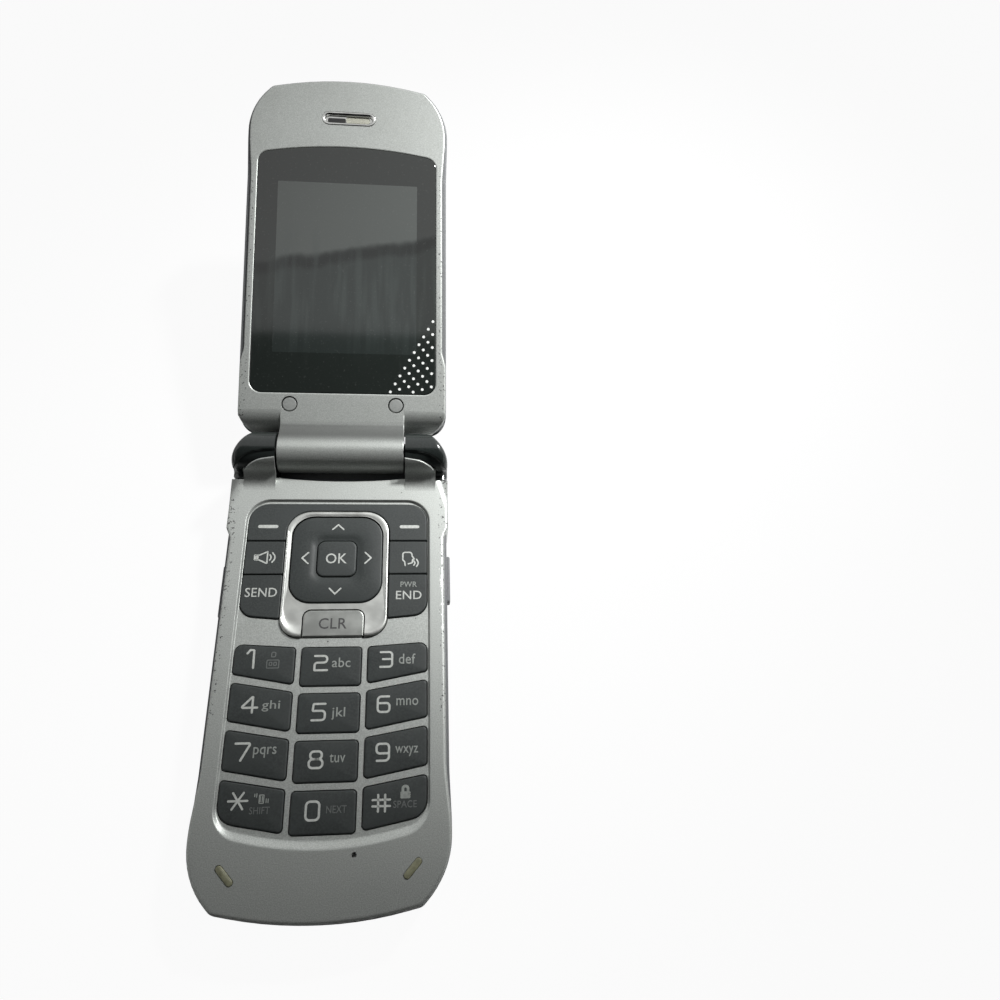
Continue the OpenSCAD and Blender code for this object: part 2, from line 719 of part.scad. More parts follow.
module hinge_cover_right() { at_hinge() hinge_cover(bush_r + fit); }
module hinge_cover_left() { at_hinge() mirror([1, 0, 0]) hinge_cover(cam_r + fit); }

cartridge_foot = barrel_w / 2 - 11.75;
bush_foot = barrel_w / 2 - 4.15;
flex_x = [cartridge_foot + 1, bush_foot - 0.6];
module hinge_cartridge() {
    color("silver") in_lid() mirror([1, 0, 0]) {
        bar(cartridge_foot, barrel_w / 2 - fit, cartridge_r);
        bar(barrel_w / 2 - 1, barrel_w / 2 + pivot_depth, cam_r);
    }
}

module hinge_bush() {
    color("dimgray") in_lid() difference() {
        union() {
            bar(bush_foot, barrel_w / 2 - fit, cartridge_r);
            bar(barrel_w / 2 - 1, barrel_w / 2 + pivot_depth, bush_r);
        }
        bar(bush_foot - 1, barrel_w, bush_r - 0.5);
    }
}

module flex_cable() {
    color("peru") in_lid() {
        difference() {
            bar(flex_x[0] - 0.4, barrel_w / 2 + pivot_depth - 0.3, flex_r);
            bar(flex_x[0] - 1, barrel_w, flex_r - flex_t);
        }
        box([flex_x[0], 0, -flex_r], [flex_x[1], window_start + 2, -flex_r + flex_t]);
    }
}

// ---- the lid, in its own frame: x, distance from the hinge axis, height over it ----

lid_outline = half_outline(5.2, 4.5);
inner_outline = inset(lid_outline, face_inset + fit);
lid_plate = 1.5;                       // thickness of the inner face
plate_w = lid_face - lid_plate;
roll_r = 4.5;                          // the shoulders roll down to the hinge
roll_v = 10;
roll_foot = lid_face - roll_r;
groove_r = 4;                          // groove between the inner face and the barrel
groove = [sqrt(pow(barrel_r + groove_r, 2) - pow(lid_face + groove_r, 2)), lid_face + groove_r];
window_w = phone_w - 2 * window_margin;
window_top = half_len - window_end;
window_outline = [[window_w / 2, window_start, 2.7], [window_w / 2, window_top + 0.5, 2.7],
    [0, window_top + 0.5 + window_bow, bow_r(window_w / 2, window_bow)],
    [-window_w / 2, window_top + 0.5, 2.7], [-window_w / 2, window_start, 2.7]];
screen_w = window_w - 2 * screen_side;
screen_v = [window_start + screen_start, window_top - screen_end];
earpiece_at = half_len - earpiece_end;
plug_spot = [half_w - 11.65, 11.3];
plug_r = 1.6;
outer_window_w = phone_w - 22;
outer_window_v = [half_len - 59.4, half_len - 23.4];
outer_window_outline = block(-outer_window_w / 2, outer_window_v[0], outer_window_w / 2,
                             outer_window_v[1], 6);
camera_spot = [0, outer_window_v[1] - 5.5];
camera_r = 2.9;
outer_screen = block(-outer_window_w / 2 + 3.5, outer_window_v[0] + 4, outer_window_w / 2 - 3.5,
                     camera_spot.y - 7.5, 0.5);
lcd_t = 1.9;
lid_board_t = 0.8;
lid_board_w = plate_w - 0.05 - lcd_t - 0.2 - lid_board_t;

module lid_inner_housing() {
    color("silver") in_lid() difference() {
        union() {
            difference() {
                soft_slab(inner_outline, [[plate_w, lid_face - 0.4, 0], [plate_w, lid_face, 0.35]]);
                box([-phone_w, 0, -10], [phone_w, roll_v, 10]);
            }
            intersection() {
                union() both_sides() profile_bar(barrel_w / 2 - eps, half_w, concat(
                    arc([roll_v, roll_foot], roll_r, 90, 180),
                    arc([roll_v, roll_foot], roll_r - lid_plate, 180, 90)));
                slab(inner_outline, roll_foot, lid_face);
            }
            profile_bar(-barrel_w / 2, barrel_w / 2, concat(
                [[roll_v + eps, lid_face]],
                arc(groove, groove_r, -90, -180 + atan2(groove.y, groove.x)),
                [[0, 0], [3.2, -2.6], [5.4, roll_foot], [9.4, roll_foot], [9.4, plate_w],
                 [roll_v + eps, plate_w]]));
            bar(-barrel_w / 2, barrel_w / 2, barrel_r);
        }
        slab(inset(window_outline, -fit), lid_face - window_t, 5);
        slab(block(-screen_w / 2, screen_v[0], screen_w / 2, screen_v[1], 0.5), -3, 5);
        translate([0, earpiece_at, 0]) {
            pill(earpiece_len + 2 * fit, earpiece_w + 2 * fit, -0.5, 5);
            pill(earpiece_len - 2, earpiece_w - 1, -3, 5);
        }
        both_sides() translate([plug_spot.x, plug_spot.y, 0]) {
            translate([0, 0, -0.7]) cylinder(h = 5, r = plug_r + fit);
            translate([0, 0, -3]) cylinder(h = 5, r = screw_r + 0.07);
        }
        bar(-barrel_w / 2 - 1, 0.1 - cartridge_foot, cartridge_r + fit);
        bar(cartridge_foot + free, barrel_w / 2 + 1, cartridge_r + fit);
        box([flex_x[0] - 0.1, 0, -flex_r - 0.1], [flex_x[1] + 0.1, roll_v, -flex_r + flex_t + 0.1]);
    }
}

module lid_outer_housing() {
    color("dimgray") in_lid() difference() {
        union() {
            difference() {
                soft_slab(lid_outline, [[lid_back + 2.3, -0.6, 0], [lid_back + 1.2, -0.1, 0.35],
                                        [lid_back + 0.4, -1, 1.1], [lid_back, -1, 2.2]]);
                slab(inset(lid_outline, side_t), lid_back + wall, 5);
                slab(inset(lid_outline, face_inset), plate_w - fit, 5);
                box([-half_w + face_inset, 0, roll_foot - fit], [half_w - face_inset, roll_v + fit, 5]);
            }
            both_sides() translate([plug_spot.x, plug_spot.y, lid_back + 0.5])
                cylinder(h = plate_w - fit - lid_back - 0.5, r = boss_r - 0.1);
        }
        both_sides() translate([plug_spot.x, plug_spot.y, lid_back + 1])
            cylinder(h = 10, r = screw_r + 0.02);
        slab(inset(outer_window_outline, -fit), lid_back - 1, lid_back + 0.9);
        slab(inset(outer_screen, -0.2), lid_back - 1, lid_back + 3);
        translate([camera_spot.x, camera_spot.y, lid_back - 1]) cylinder(h = 4, r = camera_r + fit);
    }
}

module display_window() {
    color("black") in_lid() slab(window_outline, lid_face - window_t + 0.02, lid_face);
}

module lcd_panel() {
    color("darkslateblue") in_lid()
        slab(block(-screen_w / 2 - 1.3, screen_v[0] - 3, screen_w / 2 + 1.3, screen_v[1] + 1.5),
             plate_w - fit - lcd_t, plate_w - fit);
}

module earpiece_trim() {
    color("gainsboro") in_lid() translate([0, earpiece_at, 0]) difference() {
        pill(earpiece_len, earpiece_w, -0.5, lid_face + 0.1);
        pill(earpiece_len - 1.5, earpiece_w - 1.5, -0.1, 5);
        for (i = [-3:3]) translate([i * earpiece_len / 9, 0, -1]) cylinder(h = 3, r = 0.4);
    }
}

module earpiece_speaker() {
    color("black") in_lid() translate([0, earpiece_at, 0])
        pill(earpiece_len + 1.4, earpiece_w + 3.6, plate_w - 2.3, plate_w - fit);
}

module outer_window() {
    color("black") in_lid() difference() {
        slab(outer_window_outline, lid_back, lid_back + 0.85);
        translate([camera_spot.x, camera_spot.y, lid_back - 1]) cylinder(h = 4, r = camera_r + fit);
    }
}

module outer_display() {
    color("darkslateblue") in_lid() slab(outer_screen, lid_back + 0.9, lid_back + 2.1);
}

module camera_lens() {
    color("silver") in_lid() translate([camera_spot.x, camera_spot.y, lid_back - 0.15]) difference() {
        cylinder(h = 2.2, r = camera_r);
        translate([0, 0, -1]) cylinder(h = 1.5, r = camera_r - 0.8);
    }
}

module lid_board() {
    color("darkgreen") in_lid()
        slab(block(-half_w + 5.5, window_start + 1, half_w - 5.5, window_top, 2),
             lid_board_w, lid_board_w + lid_board_t);
}

module screw_plugs() {
    color("darkgray") in_lid() both_sides() translate([plug_spot.x, plug_spot.y, 0.02])
        cylinder(h = lid_face - 0.07, r = plug_r);
}

module lid_screws() {
    color("silver") in_lid() both_sides() translate([plug_spot.x, plug_spot.y, 0]) {
        translate([0, 0, -0.7]) cylinder(h = 0.65, r = screw_head_r);
        translate([0, 0, lid_back + 1.6]) cylinder(h = -0.6 - lid_back - 1.6, r = screw_r);
    }
}

front_housing();
rear_housing();
battery_cover();
battery_pack();
battery_contacts();
main_board();
shield_can();
dome_sheet();
keypad_mat();
nav_bezel();
nav_pivot_plate();
nav_ring_key();
ok_key();
clear_key();
soft_key_bar();
speaker_key();
voice_key();
send_key();
end_key();
key_1();
key_2();
key_3();
key_4();
key_5();
key_6();
key_7();
key_8();
key_9();
key_star();
key_0();
key_hash();
hinge_cover_left();
hinge_cover_right();
hinge_cartridge();
hinge_bush();
flex_cable();
volume_rocker();
side_key();
port_cover();
usb_socket();
headset_jack();
base_screws();
rubber_bumpers();
microphone();
loudspeaker();
vibration_motor();
eccentric_weight();
antenna_carrier();
lid_inner_housing();
lid_outer_housing();
display_window();
lcd_panel();
earpiece_trim();
earpiece_speaker();
outer_window();
outer_display();
camera_lens();
lid_board();
screw_plugs();
lid_screws();
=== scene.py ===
"""The looks of an open flip phone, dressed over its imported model.

Lengths in the classes are millimetres. Pieces of the base are drawn in the base's frame: x to the
right, y from the hinge axis, z from the flat back. Pieces of the lid are drawn in the lid's frame:
x, distance from the hinge axis, height over it. Place turns either into the shared frame in metres.
"""

from __future__ import annotations

import logging
import math
from collections.abc import Iterable, Sequence
from dataclasses import dataclass, field
from enum import Enum

import bmesh
import bpy
from mathutils import Matrix, Vector
from mathutils.bvhtree import BVHTree
from mathutils.geometry import tessellate_polygon

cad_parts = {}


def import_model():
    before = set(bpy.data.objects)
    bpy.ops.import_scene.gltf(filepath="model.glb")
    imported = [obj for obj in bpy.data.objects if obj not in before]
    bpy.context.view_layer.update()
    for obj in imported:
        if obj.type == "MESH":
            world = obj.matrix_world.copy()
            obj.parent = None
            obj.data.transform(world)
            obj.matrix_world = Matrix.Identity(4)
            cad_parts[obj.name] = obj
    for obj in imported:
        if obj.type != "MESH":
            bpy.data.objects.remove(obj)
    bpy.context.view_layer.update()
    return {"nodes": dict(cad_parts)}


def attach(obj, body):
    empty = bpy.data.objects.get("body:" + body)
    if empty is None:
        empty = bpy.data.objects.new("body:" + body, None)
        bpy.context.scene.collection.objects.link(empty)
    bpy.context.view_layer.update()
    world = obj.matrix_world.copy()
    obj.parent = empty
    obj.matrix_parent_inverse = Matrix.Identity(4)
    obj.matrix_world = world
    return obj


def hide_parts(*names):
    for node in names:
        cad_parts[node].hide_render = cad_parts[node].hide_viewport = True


LOG = logging.getLogger("flip_phone")
MM = 0.001
# The hinge axis in the shared frame, and how far the lid is lifted at rest, in degrees
HINGE_Y, HINGE_Z, REST_LIFT = 46.7, 11.1, 18.4
# How far printed marks stand over their surface
INK_LIFT = 0.02
Point = tuple[float, float]
Corner = tuple[float, float, float]


class Place(Enum):
    """The frame in which a piece is drawn."""

    BASE = "base"
    LID = "lid"

    @classmethod
    def of(cls, body: str) -> Place:
        """The frame in which the pieces of a body are drawn."""
        return cls.LID if body == "lid" else cls.BASE

    @property
    def matrix(self) -> Matrix:
        """The move from this frame in millimetres to the shared frame in metres."""
        size = Matrix.Scale(MM, 4)
        if self is Place.BASE:
            return Matrix.Translation((0, HINGE_Y * MM, 0)) @ size
        turn = Matrix.Rotation(math.radians(REST_LIFT), 4, "X")
        return Matrix.Translation((0, HINGE_Y * MM, HINGE_Z * MM)) @ turn @ size


# ---- outlines -------------------------------------------------------------------------------


def fillet(a: Vector, b: Vector, c: Vector, radius: float, steps: int) -> list[Point]:
    """Rounds the corner at b.

    Args:
        a: The corner before b.
        b: The corner that is rounded.
        c: The corner after b.
        radius: The radius of the rounding.
        steps: How many straight pieces make the rounding.

    Returns:
        The points of the rounding, from the side of a to the side of c.
    """
    u, v = (a - b).normalized(), (c - b).normalized()
    half = math.acos(max(-1.0, min(1.0, u.dot(v)))) / 2
    middle = b + (u + v).normalized() * (radius / math.sin(half))
    reach = radius / math.tan(half)
    start, end = b + u * reach - middle, b + v * reach - middle
    begin = math.atan2(start.y, start.x)
    turn = (math.atan2(end.y, end.x) - begin + 3 * math.pi) % (2 * math.pi) - math.pi
    angles = [begin + turn * i / steps for i in range(steps + 1)]
    return [(middle.x + radius * math.cos(t), middle.y + radius * math.sin(t)) for t in angles]


def between(start: Sequence[Point], end: Sequence[Point], share: float) -> list[Point]:
    """The points a share of the way from one outline to another."""
    return [
        (a[0] + (b[0] - a[0]) * share, a[1] + (b[1] - a[1]) * share) for a, b in zip(start, end)
    ]


def inward_ways(loop: Sequence[Point], closed: bool = True) -> list[Vector]:
    """For each point of a loop or an open path, the way to its left."""
    n, ways = len(loop), []
    for i in range(n):
        before = loop[i - 1] if closed else loop[max(i - 1, 0)]
        after = loop[(i + 1) % n] if closed else loop[min(i + 1, n - 1)]
        along = (Vector(after) - Vector(before)).normalized()
        ways.append(Vector((-along.y, along.x)))
    return ways


def bow(half: float, rise: float) -> float:
    """The radius that rounds a peak of this half width and rise into a bow."""
    return 0.86 * math.hypot(half, rise) * half / rise


@dataclass(frozen=True)
class Outline:
    """A closed outline, or an open path, of corners that are each rounded by their own radius."""

    corners: tuple[Corner, ...]
    closed: bool = True

    @classmethod
    def box(cls, x0: float, y0: float, x1: float, y1: float, radius: float = 0.0) -> Outline:
        """The rectangle between two corners, with rounded corners."""
        return cls(((x0, y0, radius), (x1, y0, radius), (x1, y1, radius), (x0, y1, radius)))

    @classmethod
    def circle(cls, x: float, y: float, radius: float) -> Outline:
        """A circle, as a square whose corners are rounded all the way."""
        r = radius
        return cls.box(x - r, y - r, x + r, y + r, 0.998 * r)

    @classmethod
    def pill(cls, length: float, width: float, x: float = 0.0, y: float = 0.0) -> Outline:
        """A slot with round ends along x."""
        a, b = length / 2, width / 2
        return cls.box(x - a, y - b, x + a, y + b, 0.998 * b)

    @classmethod
    def even(cls, *half: Corner) -> Outline:
        """An outline alike on both sides, from one side's corners; a corner at x 0 stands once."""
        return cls((*half, *((-x, y, r) for x, y, r in reversed(half) if x)))

    def inset(self, by: float) -> Outline:
        """The outline moved inward by a distance, or outward by a negative one."""
        n, moved = len(self.corners), []
        for i, (x, y, r) in enumerate(self.corners):
            before, after = self.corners[i - 1], self.corners[(i + 1) % n]
            u = Vector((x - before[0], y - before[1])).normalized()
            v = Vector((after[0] - x, after[1] - y)).normalized()
            p, q = Vector((-u.y, u.x)), Vector((-v.y, v.x))
            shift = (p + q) * (by / (1 + p.dot(q)))
            outward = u.x * v.y - u.y * v.x >= 0
            radius = 0.0 if r == 0 else max(r + (-by if outward else by), 0.05)
            moved.append((x + shift.x, y + shift.y, radius))
        return Outline(tuple(moved), self.closed)

    def mirrored(self) -> Outline:
        """The outline's mirror image, left to right."""
        return Outline(tuple((-x, y, r) for x, y, r in reversed(self.corners)), self.closed)

    def flipped(self) -> Outline:
        """The outline turned over end to end."""
        return Outline(tuple((x, -y, r) for x, y, r in reversed(self.corners)), self.closed)

    def turned(self, degrees: float, x: float, y: float) -> Outline:
        """The outline turned about its own origin, then moved to x, y."""
        c, s = math.cos(math.radians(degrees)), math.sin(math.radians(degrees))
        moved = tuple((a * c - b * s + x, a * s + b * c + y, r) for a, b, r in self.corners)
        return Outline(moved, self.closed)

    def points(self, steps: int = 8) -> list[Point]:
        """The outline's points, with each rounding in this many straight pieces."""
        n, out = len(self.corners), []
        for i, (x, y, r) in enumerate(self.corners):
            end = not self.closed and i in (0, n - 1)
            if r == 0 or end:
                out.append((x, y))
                continue
            a, c = self.corners[i - 1], self.corners[(i + 1) % n]
            out += fillet(Vector(a[:2]), Vector((x, y)), Vector(c[:2]), r, steps)
        return out


def phone_half(
    start: float, start_radius: float, side: float, rim: float = 0.0, short: float = 0.0
) -> Outline:
    """One half of the phone, from the hinge end to its far end.

    Args:
        start: The distance from the hinge at which the half starts.
        start_radius: The radius of the corners there.
        side: The half width along the straight sides; the far end flares a little wider.
        rim: How far the far end is set in from the phone's own outline.
        short: How much shorter the half is than the phone's full half.

    Returns:
        The outline, with the far end towards +y.
    """
    width, inner, rise = PHONE.half_width, PHONE.half_width - PHONE.corner_in, PHONE.end_rise
    radius = bow(inner, rise)
    tip = PHONE.half_length - short + radius * (1 / math.cos(math.atan2(rise, inner)) - 1)
    low, corner = tip - rise - PHONE.corner_long, tip - rise
    far = Outline.even(
        (width, low - 20, 0), (width, low, PHONE.corner_round), (inner, corner, 2), (0, tip, radius)
    ).inset(rim)
    right = (
        (side, start, start_radius), (side, low - 17.5, 40), (far.corners[0][0], low - 8.7, 40)
    )
    left = tuple((-x, y, r) for x, y, r in reversed(right))
    return Outline((*right, *far.corners[1:-1], *left))


@dataclass(frozen=True)
class PhoneSizes:
    """The sizes that several sub-assemblies share."""

    half_width: float = 23.5
    half_length: float = 93.4
    corner_in: float = 5.3
    corner_long: float = 5.6
    corner_round: float = 15.5
    end_rise: float = 3.9
    base_side: float = 23.15
    lid_side: float = 23.25
    lid_short: float = 0.83
    base_top: float = 10.2
    tray_floor: float = 9.7
    plate_foot: float = 8.5
    seam: float = 7.6
    barrel_half: float = 13.75
    ear_inner: float = 14.05
    ear_outer: float = 20.8
    lid_face: float = 0.5
    lid_back: float = -6.5
    keys_half: float = 18.88
    key_top: float = 10.1


PHONE = PhoneSizes()


# ---- meshes ---------------------------------------------------------------------------------


class Skin:
    """Collects the points and faces of one piece, ring by ring."""

    def __init__(self) -> None:
        """Starts an empty skin."""
        self.points: list[tuple[float, float, float]] = []
        self.faces: list[tuple[tuple[int, ...], int]] = []

    def add(self, points: Iterable[tuple[float, float, float]]) -> list[int]:
        """Adds points in space and returns their numbers."""
        first = len(self.points)
        self.points.extend(points)
        return list(range(first, len(self.points)))

    def ring(self, outline: Sequence[Point], z: float | Sequence[float]) -> list[int]:
        """Adds a ring of points.

        Args:
            outline: The ring's points from above.
            z: One height for all, or a height for each point.

        Returns:
            The numbers of the ring's points.
        """
        heights = [z] * len(outline) if isinstance(z, (int, float)) else list(z)
        return self.add((x, y, h) for (x, y), h in zip(outline, heights))

    def bridge(
        self, a: Sequence[int], b: Sequence[int], finish: int = 0, closed: bool = True
    ) -> None:
        """Joins two rings, or two open rows, with faces."""
        n = len(a)
        for i in range(n if closed else n - 1):
            j = (i + 1) % n
            self.faces.append(((a[i], a[j], b[j], b[i]), finish))

    def fill(
        self, outer: Sequence[int], holes: Iterable[Sequence[int]] = (), finish: int = 0
    ) -> None:
        """Fills a ring, leaving the holes open."""
        loops = [list(outer), *map(list, holes)]
        flat = [number for loop in loops for number in loop]
        shape = [
            [Vector((self.points[n][0], self.points[n][1], 0)) for n in loop] for loop in loops
        ]
        for triangle in tessellate_polygon(shape):
            self.faces.append((tuple(flat[n] for n in triangle), finish))

    def sew(
        self, rings: Sequence[Sequence[int]], finish: int = 0, closed: bool = True,
        ends: bool = False,
    ) -> None:
        """Joins rings, or open rows, one after the other.

        Args:
            rings: The rings, in order.
            finish: The finish's number on this piece.
            closed: Whether they are rings, not open rows.
            ends: Whether the first and the last are closed with a flat face.
        """
        for a, b in zip(rings, rings[1:]):
            self.bridge(a, b, finish, closed)
        if ends:
            self.faces += [(tuple(rings[0]), finish), (tuple(rings[-1]), finish)]

    def loft(
        self, outline: Outline, layers: Sequence[Point], steps: int = 8, finish: int = 0
    ) -> list[list[int]]:
        """Draws a wall up an outline.

        Args:
            outline: The outline that the wall follows.
            layers: Pairs of inset and height, from the first ring to the last.
            steps: Straight pieces in each rounding.
            finish: The finish's number on this piece.

        Returns:
            The wall's rings.
        """
        rings = [self.ring(outline.inset(d).points(steps), z) for d, z in layers]
        self.sew(rings, finish)
        return rings

    def solid(
        self, outline: Outline, layers: Sequence[Point], steps: int = 8, finish: int = 0
    ) -> None:
        """A wall up an outline, as loft draws it, filled at both ends."""
        rings = self.loft(outline, layers, steps, finish)
        self.fill(rings[0], finish=finish)
        self.fill(rings[-1], finish=finish)

    def prism(
        self, outline: Outline, low: float, high: float, steps: int = 8, finish: int = 0
    ) -> None:
        """A closed block with this outline between two heights."""
        self.solid(outline, [(0, low), (0, high)], steps, finish)

    def box(self, low: Corner, high: Corner) -> None:
        """A closed box between two corners."""
        self.prism(Outline.box(low[0], low[1], high[0], high[1]), low[2], high[2])

    def rod(self, x0: float, x1: float, radius: float, y: float, z: float) -> None:
        """A closed round bar along x."""
        sides = 40
        turns = [2 * math.pi * i / sides for i in range(sides)]
        self.sew(
            [
                self.add((x, y + radius * math.cos(t), z + radius * math.sin(t)) for t in turns)
                for x in (x0, x1)
            ],
            ends=True,
        )

    def sweep(
        self, last: Sequence[int], start: Sequence[Point], end: Sequence[Point],
        steps: Iterable[Point],
    ) -> list[int]:
        """Goes on from a ring with rings between two outlines.

        Args:
            last: The ring to go on from.
            start: The outline at share 0.
            end: The outline at share 1.
            steps: Pairs of share and height.

        Returns:
            The last ring.
        """
        rings = [last]
        for share, height in steps:
            rings.append(self.ring(between(start, end, share), height))
        self.sew(rings)
        return rings[-1]

    def pillow(
        self, outline: Outline, rise: float, top: float, steps: int = 8, finish: int = 0
    ) -> None:
        """A crowned top over a convex outline: rise is the crown's height over the edge at top."""
        edge = outline.points(steps)
        cx = sum(p[0] for p in edge) / len(edge)
        cy = sum(p[1] for p in edge) / len(edge)
        last = self.ring(edge, top)
        for share in (0.93, 0.8, 0.62, 0.42, 0.2):
            points = [(cx + (x - cx) * share, cy + (y - cy) * share) for x, y in edge]
            ring = self.ring(points, top + rise * (1 - share * share))
            self.bridge(last, ring, finish)
            last = ring
        self.faces.append((tuple(last), finish))

    def mesh(self, name: str, place: Place) -> bpy.types.Mesh:
        """The finished mesh, in metres in the shared frame."""
        made = bpy.data.meshes.new(name)
        made.from_pydata(self.points, [], [face for face, _ in self.faces])
        made.polygons.foreach_set("material_index", [finish for _, finish in self.faces])
        work = bmesh.new()
        work.from_mesh(made)
        bmesh.ops.remove_doubles(work, verts=work.verts, dist=1e-4)
        bmesh.ops.recalc_face_normals(work, faces=work.faces)
        work.transform(place.matrix)
        work.to_mesh(made)
        work.free()
        return made


def rounded_foot(width: float, height: float, low: float = 0.0) -> list[Point]:
    """Layers of a quarter round that starts at height low: pairs of inset and height."""
    steps = 7
    angles = [math.pi / 2 * i / steps for i in range(steps + 1)]
    return [(width * (1 - math.sin(t)), low + height * (1 - math.cos(t))) for t in angles]


def rounded_edge(width: float, height: float, top: float, steps: int = 5) -> list[Point]:
    """Layers of a quarter round that ends at height top: pairs of inset and height."""
    angles = [math.pi / 2 * i / steps for i in range(steps + 1)]
    return [(width * (1 - math.cos(t)), top - height * (1 - math.sin(t))) for t in angles]


# ---- finishes -------------------------------------------------------------------------------


def add_node(
    tree: bpy.types.NodeTree,
    kind: str,
    inputs: dict[str | int, object] | None = None,
    **settings: object,
) -> bpy.types.Node:
    """Adds a node to a tree.

    Args:
        tree: The tree.
        kind: The node's type name.
        inputs: Values, or outputs of other nodes, for its inputs.
        settings: Values for the node's own properties.

    Returns:
        The new node.
    """
    made = tree.nodes.new(kind)
    for key, value in settings.items():
        setattr(made, key, value)
    for key, value in (inputs or {}).items():
        put(tree, made.inputs[key], value)
    return made


def put(tree: bpy.types.NodeTree, socket: bpy.types.NodeSocket, value: object) -> None:
    """Links an output to the socket, or sets its value."""
    if isinstance(value, bpy.types.NodeSocket):
        tree.links.new(value, socket)
    else:
        socket.default_value = value


class Graph:
    """Builds the node tree of one finish."""

    def __init__(self, name: str) -> None:
        """Starts a material with a Principled shader."""
        self.material = bpy.data.materials.new(name)
        self.material.use_nodes = True
        self.tree = self.material.node_tree
        self.shader = self.tree.nodes["Principled BSDF"]
        self.place = self.node("ShaderNodeTexCoord").outputs["Object"]

    def node(
        self, kind: str, inputs: dict[str | int, object] | None = None, **settings: object
    ) -> bpy.types.Node:
        """Adds a node, as add_node does."""
        return add_node(self.tree, kind, inputs, **settings)

    def plain(self, **values: object) -> None:
        """Sets values on the shader's own sockets; underscores stand for spaces."""
        for key, value in values.items():
            put(self.tree, self.shader.inputs[key.replace("_", " ")], value)

    def noise(
        self, size: float, detail: float = 2.0, stretch: Corner = (1, 1, 1)
    ) -> bpy.types.NodeSocket:
        """Noise whose grains are about this many millimetres across."""
        moved = self.node("ShaderNodeMapping", {"Vector": self.place, "Scale": stretch})
        values = {"Vector": moved.outputs[0], "Scale": 1 / (size * MM), "Detail": detail}
        return self.node("ShaderNodeTexNoise", values).outputs["Fac"]

    def math(self, kind: str, a: object, b: object = 0.0) -> bpy.types.NodeSocket:
        """A Math node."""
        return self.node("ShaderNodeMath", {0: a, 1: b}, operation=kind).outputs[0]

    def both(self, a: object, *others: object) -> bpy.types.NodeSocket:
        """The product of several shares."""
        for b in others:
            a = self.math("MULTIPLY", a, b)
        return a

    def band(self, value: object, low: float, high: float) -> bpy.types.NodeSocket:
        """0 below low, 1 above high, a smooth step between; turned round if low is over high."""
        values = {"Value": value, "From Min": low, "From Max": high}
        made = self.node("ShaderNodeMapRange", values, interpolation_type="SMOOTHSTEP")
        return made.outputs["Result"]

    def rise(self, value: object, low: float, high: float) -> bpy.types.NodeSocket:
        """The band between two lengths in millimetres."""
        return self.band(value, low * MM, high * MM)

    def along(self, direction: Corner) -> bpy.types.NodeSocket:
        """How far a point lies along a direction, in metres."""
        made = self.node(
            "ShaderNodeVectorMath", {0: self.place, 1: direction}, operation="DOT_PRODUCT"
        )
        return made.outputs["Value"]

    def span(self, direction: Corner, low: float, high: float, soft: float) -> bpy.types.NodeSocket:
        """1 between two places along a direction, 0 outside, with soft ends; in millimetres."""
        place, half = self.along(direction), soft / 2
        up = self.band(place, (low - half) * MM, (low + half) * MM)
        down = self.band(place, (high + half) * MM, (high - half) * MM)
        return self.both(up, down)

    def mix(self, share: object, a: object, b: object) -> bpy.types.NodeSocket:
        """A mix of two colours."""
        return self.node("ShaderNodeMix", {0: share, 6: a, 7: b}, data_type="RGBA").outputs[2]

    def rough(self, amount: object, spread: float, least: float) -> None:
        """Sets the roughness: least, and as much as spread on top where amount is 1."""
        self.plain(
            Roughness=self.node(
                "ShaderNodeMath", {0: amount, 1: spread, 2: least}, operation="MULTIPLY_ADD"
            ).outputs[0]
        )

    def bump(self, height: object, depth: float) -> None:
        """Raises the surface by height, at most this many millimetres."""
        values = {"Height": height, "Distance": depth * MM, "Strength": 1.0}
        self.plain(Normal=self.node("ShaderNodeBump", values).outputs[0])


def lid_way() -> tuple[Corner, float]:
    """The way from the hinge to the lid's tip, and how far along it the hinge lies."""
    lift = math.radians(REST_LIFT)
    return (0, math.cos(lift), math.sin(lift)), HINGE_Y * math.cos(lift) + HINGE_Z * math.sin(lift)


def shade(grey: Corner, share: float) -> tuple[float, float, float, float]:
    """A colour made lighter or darker."""
    return (*(min(1.0, c * share) for c in grey), 1.0)


@dataclass(frozen=True)
class Finish:
    """A surface finish; each kind adds what its real surface shows."""

    name: str
    colour: Corner
    other_slot: str = ""

    @property
    def slot(self) -> str:
        """The material slot that the finish stands for, which mostly has its name."""
        return self.other_slot or self.name

    def dress(self, graph: Graph) -> None:
        """Sets the graph's shader; each kind has its own."""
        graph.plain(Base_Color=shade(self.colour, 1))

    def material(self) -> bpy.types.Material:
        """The finish's material, made on first use."""
        known = bpy.data.materials.get(f"{self.name}_finish")
        if known is not None:
            return known
        graph = Graph(f"{self.name}_finish")
        self.dress(graph)
        return graph.material


